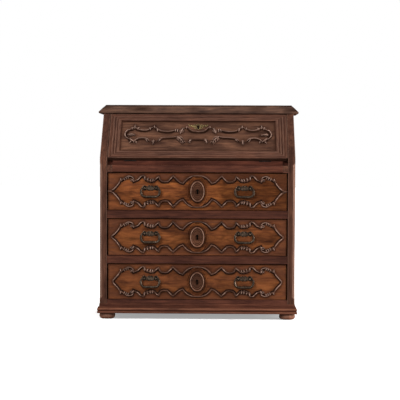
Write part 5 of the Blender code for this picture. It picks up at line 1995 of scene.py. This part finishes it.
    def dullness(self, spot: Vector, outline: Sequence[Vector]) -> float:
        """Tells how dull the figure is: bright inside the cartouche, dull outside but for the corners.

        Args:
            spot: A place on the front, from its middle.
            outline: The cartouche's line.

        Returns:
            The share of its figure that is lost, from 0 to 1.
        """
        inside = False
        for start, end in zip(outline, outline[1:] + outline[:1]):
            if (start.y > spot.y) != (end.y > spot.y):
                crossing = start.x + (end.x - start.x) * (spot.y - start.y) / (end.y - start.y)
                inside ^= spot.x < crossing
        if inside:
            return self.fade
        corner = abs(spot.x) / self.reach + 0.36 * abs(spot.y) / self.rise
        dull = self.dull[0] if spot.y < 0.0 else self.dull[1]
        return dull * (1.0 - 0.12 * min(max((corner - 1.06) / 0.14, 0.0), 1.0))

    def key_sheet(self) -> Matrix:
        """Lays a sheet on the front with its origin on the keyhole's round part."""
        return self.face @ Matrix.Translation((0.0, self.key_rise, 0.0))

    def boss(self) -> None:
        """Turns the oval boss round the keyhole: a rim with a painted highlight at its sides, a thin bead and a
        hollow.
        """
        half = self.boss_half
        # The grooves and toes are painted dark, painted shade; the hollow is darker round the keyhole.
        profile = stations(
            (0, 0.0036, 0, 1), (0.20, 0.0036, 0, 0.9), (0.34, 0.0036, 0, 0.35), (0.52, 0.0033, 0, 0.2),
            (0.58, 0.0028, 0, 1), (0.62, 0.0038), (0.655, 0.0044, 0.1), (0.69, 0.0036, 0, 0.3),
            (0.725, 0.0026, 0, 1), (0.76, 0.0056, 0, 0.3), (0.80, 0.0084, 0.2), (0.84, 0.0094, 0.9),
            (0.88, 0.0086, 0.4), (0.915, 0.0052, 0, 0.5), (0.935, 0.0030, 0, 1), (1.0, 0.0016, 0, 0.9),
            (1.02, 0.0, 0, 1), (0, 0.0), size=half,
        )
        form = Form()
        sheet = self.face @ Matrix.Translation((0.0, 0.0, SEAT))
        stretch = (self.rise - self.boss_clear) / half
        form.lathe(profile, 72, sheet, stretch)
        # The rim's pale paint is kept to its left and right sides: a painted highlight where the light falls.
        back = sheet.inverted()
        for vert in form.bm.verts:
            spot = back @ vert.co
            sideways = abs(spot.x) / max(math.hypot(spot.x, spot.y / stretch), TINY)
            vert[form.wear] *= 0.15 + 0.85 * sideways
        stretch = (self.rise - self.boss_clear + 0.002) / half
        # The border ring: crest painted pale, a painted highlight; toes dark, painted shade.
        ring = stations(
            (1.20, 0.0, 0, 1), (1.22, 0.0018, 0, 0.4), (1.26, 0.0030, 0.3), (1.30, 0.0028, 0.4),
            (1.34, 0.0016, 0, 0.4), (1.36, 0.0, 0, 1), size=half,
        )
        border = Form()
        border.hoop(ring, 72, sheet, stretch)
        border.piece(f"{self.name}_boss_ring", FIGURED[self.name], self.name)
        boss = form.piece(f"{self.name}_oval_boss", CARVED_BOSS, self.name, f"{self.name}_keyhole_boss")
        self.keyhole.pierce(boss, self.key_sheet())

    def box(self) -> None:
        """Makes the pine box: two sides, a back and a floor, dovetailed at the back corners."""
        low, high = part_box(f"{self.name}_box")
        wall = 0.010
        form = Form()
        for edges in ((low.x, low.x + wall), (high.x - wall, high.x)):
            form.board((edges[0], low.y, low.z), (edges[1], high.y, high.z), 0.001)
        form.board((low.x + wall, low.y, low.z), (high.x - wall, high.y - wall, low.z + wall), 0.0008)
        form.piece(f"{self.name}_sides", PINE, self.name, f"{self.name}_box")
        form = Form()
        form.board((low.x + wall, high.y - wall, low.z), (high.x - wall, high.y, high.z - 0.004), 0.001)
        tails = 4
        pitch = (high.z - low.z) / tails
        for side in (-1, 1):
            for number in range(tails):
                self.tail(form, side, low.z + (number + 0.5) * pitch, pitch * 0.30)
        form.piece(f"{self.name}_back", PINE_ACROSS, self.name)

    def tail(self, form: Form, side: int, middle: float, half: float) -> None:
        """Adds one dovetail pin whose end grain shows on the box's side.

        Args:
            form: The mesh that it goes into.
            side: -1 for the left and 1 for the right.
            middle: Its height.
            half: Half its width at the outside.
        """
        low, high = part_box(f"{self.name}_box")
        outside = (high.x if side > 0 else low.x) + side * 0.0002
        rings = []
        for x, draw in ((outside - side * 0.012, 0.6), (outside, 1.0)):
            corners = ((-1, -0.0106), (1, -0.0106), (1, 0.0002), (-1, 0.0002))
            places = [Vector((x, high.y + y, middle + z * half * draw)) for z, y in corners]
            rings.append([form.vert(place, 0, 0.4) for place in places])
        form.skin(rings)


@dataclass
class SmallDrawer:
    """A small desk drawer: figured front with a turned knob, and a pine tray."""

    name: str
    wall: float = 0.007
    knob: tuple[Station, ...] = stations(
        (0, 0.0160, 1), (0.0030, 0.0158, 1), (0.0062, 0.0142, 0.8), (0.0080, 0.0116, 0.5),
        (0.0076, 0.0092, 0.2), (0.0056, 0.0072), (0.0040, 0.0052, 0, 0.6), (0.0042, 0.0034, 0.2),
        (0.0062, 0.0024, 0.4), (0.0064, 0.0010, 0.2), (0.0064, -0.002, 0, 1), (0, -0.002),
    )

    def build(self) -> None:
        """Makes the front with its knob, and the tray."""
        low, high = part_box(self.name)
        reach = 0.016
        face = low.y + reach
        form = Form()
        verts = form.board((low.x, face, low.z), (high.x, face + self.wall, high.z), 0.0012, 0.02)
        for vert in verts:
            edge = min(vert.co.x - low.x, high.x - vert.co.x, vert.co.z - low.z, high.z - vert.co.z)
            vert[form.dirt] = 0.5 * math.exp(-edge / 0.006)
        middle = Matrix.Translation(((low.x + high.x) / 2, face, (low.z + high.z) / 2))
        form.lathe(self.knob, 28, middle @ UPRIGHT_FACE)
        form.piece(f"{self.name}_face", FIGURED_SMALL, self.name, self.name)
        form = Form()
        back = face + self.wall
        wall = self.wall
        for edges in ((low.x, low.x + wall), (high.x - wall, high.x)):
            form.board((edges[0], back, low.z), (edges[1], high.y, high.z), 0.0008)
        form.board((low.x + wall, high.y - wall, low.z), (high.x - wall, high.y, high.z), 0.0008)
        form.board((low.x + wall, back, low.z), (high.x - wall, high.y - wall, low.z + wall), 0.0006)
        form.piece(f"{self.name}_tray", PINE, self.name)


@dataclass
class Loper:
    """A sliding bearer that carries the open flap."""

    side: str

    def build(self) -> None:
        """Makes the bearer."""
        node = f"loper_{self.side}"
        low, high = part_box(node)
        form = Form()
        form.board(low, high, 0.0014, 0.04)
        form.piece(f"{self.side}_bearer", WALNUT_DEEP, node, node)


@dataclass(frozen=True)
class Softbox:
    """A soft studio lamp."""

    name: str
    place: tuple[float, float, float]
    aim: tuple[float, float, float]
    width: float
    height: float
    watts: float

    def build(self) -> None:
        """Sets up the lamp."""
        lamp = bpy.data.lights.new(self.name, "AREA")
        lamp.shape = "RECTANGLE"
        lamp.size = self.width
        lamp.size_y = self.height
        lamp.energy = self.watts
        obj = placed(self.name, lamp)
        obj.location = self.place
        obj.rotation_euler = (Vector(self.aim) - Vector(self.place)).to_track_quat("-Z", "Y").to_euler()


@dataclass
class Studio:
    """The pale floor, the soft light and the camera."""

    camera_place: tuple[float, float, float] = (0.13135, -6.5, 0.78222)
    yaw: float = -0.01888
    pitch: float = -0.03131
    roll: float = 0.00419
    focal_pixels: float = 1283.71
    picture_width: int = 400
    sensor: float = 36.0
    ambient: float = 0.36
    floor_size: float = 30.0
    floor_lit: Colour = (0.36, 0.35, 0.34)
    floor_shown: Colour = (0.80, 0.79, 0.78)
    lamps: tuple[Softbox, ...] = (
        Softbox("key_lamp", (-2.4, -3.4, 3.3), (0.0, -0.1, 0.6), 1.6, 1.6, 190.0),
        Softbox("fill_lamp", (2.6, -3.6, 2.2), (0.0, -0.1, 0.5), 1.6, 1.6, 42.0),
        Softbox("right_lamp", (2.4, -0.5, 0.65), (0.45, -0.2, 0.5), 0.5, 1.6, 92.0),
        Softbox("left_lamp", (-2.4, -0.4, 0.65), (-0.45, -0.2, 0.5), 0.5, 1.6, 24.0),
        Softbox("back_lamp", (1.2, 3.2, 4.4), (0.0, 0.2, 0.5), 1.6, 1.6, 130.0),
    )

    def build(self) -> None:
        """Sets the whole stage."""
        scene = bpy.context.scene
        scene.view_settings.view_transform = "Standard"
        self.camera()
        self.surround()
        self.floor()
        for lamp in self.lamps:
            lamp.build()

    def camera(self) -> None:
        """Places the camera where the photograph was taken from."""
        flat = math.cos(self.pitch)
        ahead = Vector((math.sin(self.yaw) * flat, math.cos(self.yaw) * flat, math.sin(self.pitch)))
        level = Vector((math.cos(self.yaw), -math.sin(self.yaw), 0.0))
        above = level.cross(ahead)
        right = level * math.cos(self.roll) + above * math.sin(self.roll)
        up = above * math.cos(self.roll) - level * math.sin(self.roll)
        data = bpy.data.cameras.new("camera")
        data.sensor_width = self.sensor
        data.lens = self.focal_pixels / self.picture_width * self.sensor
        obj = placed("camera", data)
        turn = Matrix((right, up, -ahead)).transposed().to_4x4()
        obj.matrix_world = Matrix.Translation(self.camera_place) @ turn
        bpy.context.scene.camera = obj

    @staticmethod
    def shown_share(wiring: Wiring) -> bpy.types.NodeSocket:
        """Tells rays that show the surround itself from those that light the object.

        Args:
            wiring: The node tree to add to.

        Returns:
            A socket that is 1 for camera, glossy and transmission rays.
        """
        path = wiring.add("ShaderNodeLightPath")
        total = path.outputs["Is Camera Ray"]
        for name in ("Is Glossy Ray", "Is Transmission Ray"):
            inputs = {0: total, 1: path.outputs[name]}
            total = wiring.add("ShaderNodeMath", inputs, operation="MAXIMUM").outputs["Value"]
        return total

    def surround(self) -> None:
        """Lights the room evenly, and shows it white."""
        world = bpy.data.worlds.new("surround")
        world.use_nodes = True
        world.node_tree.nodes.clear()
        wiring = Wiring(world.node_tree)
        shades = []
        for strength in (self.ambient, 1.0):
            shade = wiring.add("ShaderNodeBackground", {"Color": WHITE, "Strength": strength})
            shades.append(shade.outputs[0])
        mix = wiring.add("ShaderNodeMixShader", {0: self.shown_share(wiring), 1: shades[0], 2: shades[1]})
        wiring.add("ShaderNodeOutputWorld", {"Surface": mix.outputs[0]})
        bpy.context.scene.world = world

    def floor(self) -> None:
        """Lays the pale floor, which shows white far off and darker near the bureau, where its glow is weaker:
        painted shade round its shadow.
        """
        material = bpy.data.materials.new("pale_floor")
        material.use_nodes = True
        material.node_tree.nodes.clear()
        wiring = Wiring(material.node_tree)
        place = wiring.add("ShaderNodeTexCoord").outputs["Object"]
        # The glow grows with the distance from the bureau, so the floor round it is painted darker: painted
        # shade round its real shadow.
        gap = wiring.add("ShaderNodeVectorMath", {0: place}, operation="LENGTH").outputs["Value"]
        spread = {"Value": gap, "From Min": 0.7, "From Max": 2.2, "To Min": 0.34, "To Max": 1.0}
        strength = wiring.add("ShaderNodeMapRange", spread).outputs["Result"]
        glow = wiring.add("ShaderNodeEmission", {"Color": WHITE, "Strength": strength}).outputs[0]
        lit = wiring.add("ShaderNodeBsdfDiffuse", {"Color": self.floor_lit}).outputs[0]
        shown = wiring.add("ShaderNodeBsdfDiffuse", {"Color": self.floor_shown}).outputs[0]
        both = wiring.add("ShaderNodeAddShader", {0: shown, 1: glow}).outputs[0]
        seen = wiring.add("ShaderNodeMixShader", {0: self.shown_share(wiring), 1: lit, 2: both})
        wiring.add("ShaderNodeOutputMaterial", {"Surface": seen.outputs[0]})
        bm = bmesh.new()
        bmesh.ops.create_grid(bm, x_segments=1, y_segments=1, size=self.floor_size)
        mesh = mesh_from(bm, "floor")
        mesh.materials.append(material)
        obj = placed("floor", mesh)


def main() -> None:
    """Builds the stage and every piece of the bureau."""
    logging.basicConfig(level=logging.INFO, format="%(name)s %(message)s")
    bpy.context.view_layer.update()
    Studio().build()
    Carcase(Layout.measure()).build()
    for label in ("left", "right"):
        Hinge(label).build()
        Loper(label).build()
        SmallDrawer(f"small_drawer_{label}").build()
    Flap().build()
    drawers = (
        LongDrawer("bottom_drawer", "lower_rail", tip=0.985, shade=(0.0, 0.04), fade=0.30, dull=(0.75, 0.75)),
        LongDrawer("middle_drawer", "upper_rail", tip=1.003, shade=(0.04, 0.10), fade=0.12),
        LongDrawer("top_drawer", "loper_rail", tip=1.04, shade=(0.0, 0.55), dull=(0.25, 0.85)),
    )
    for drawer in drawers:
        drawer.build()


if __name__ == "__main__":
    main()
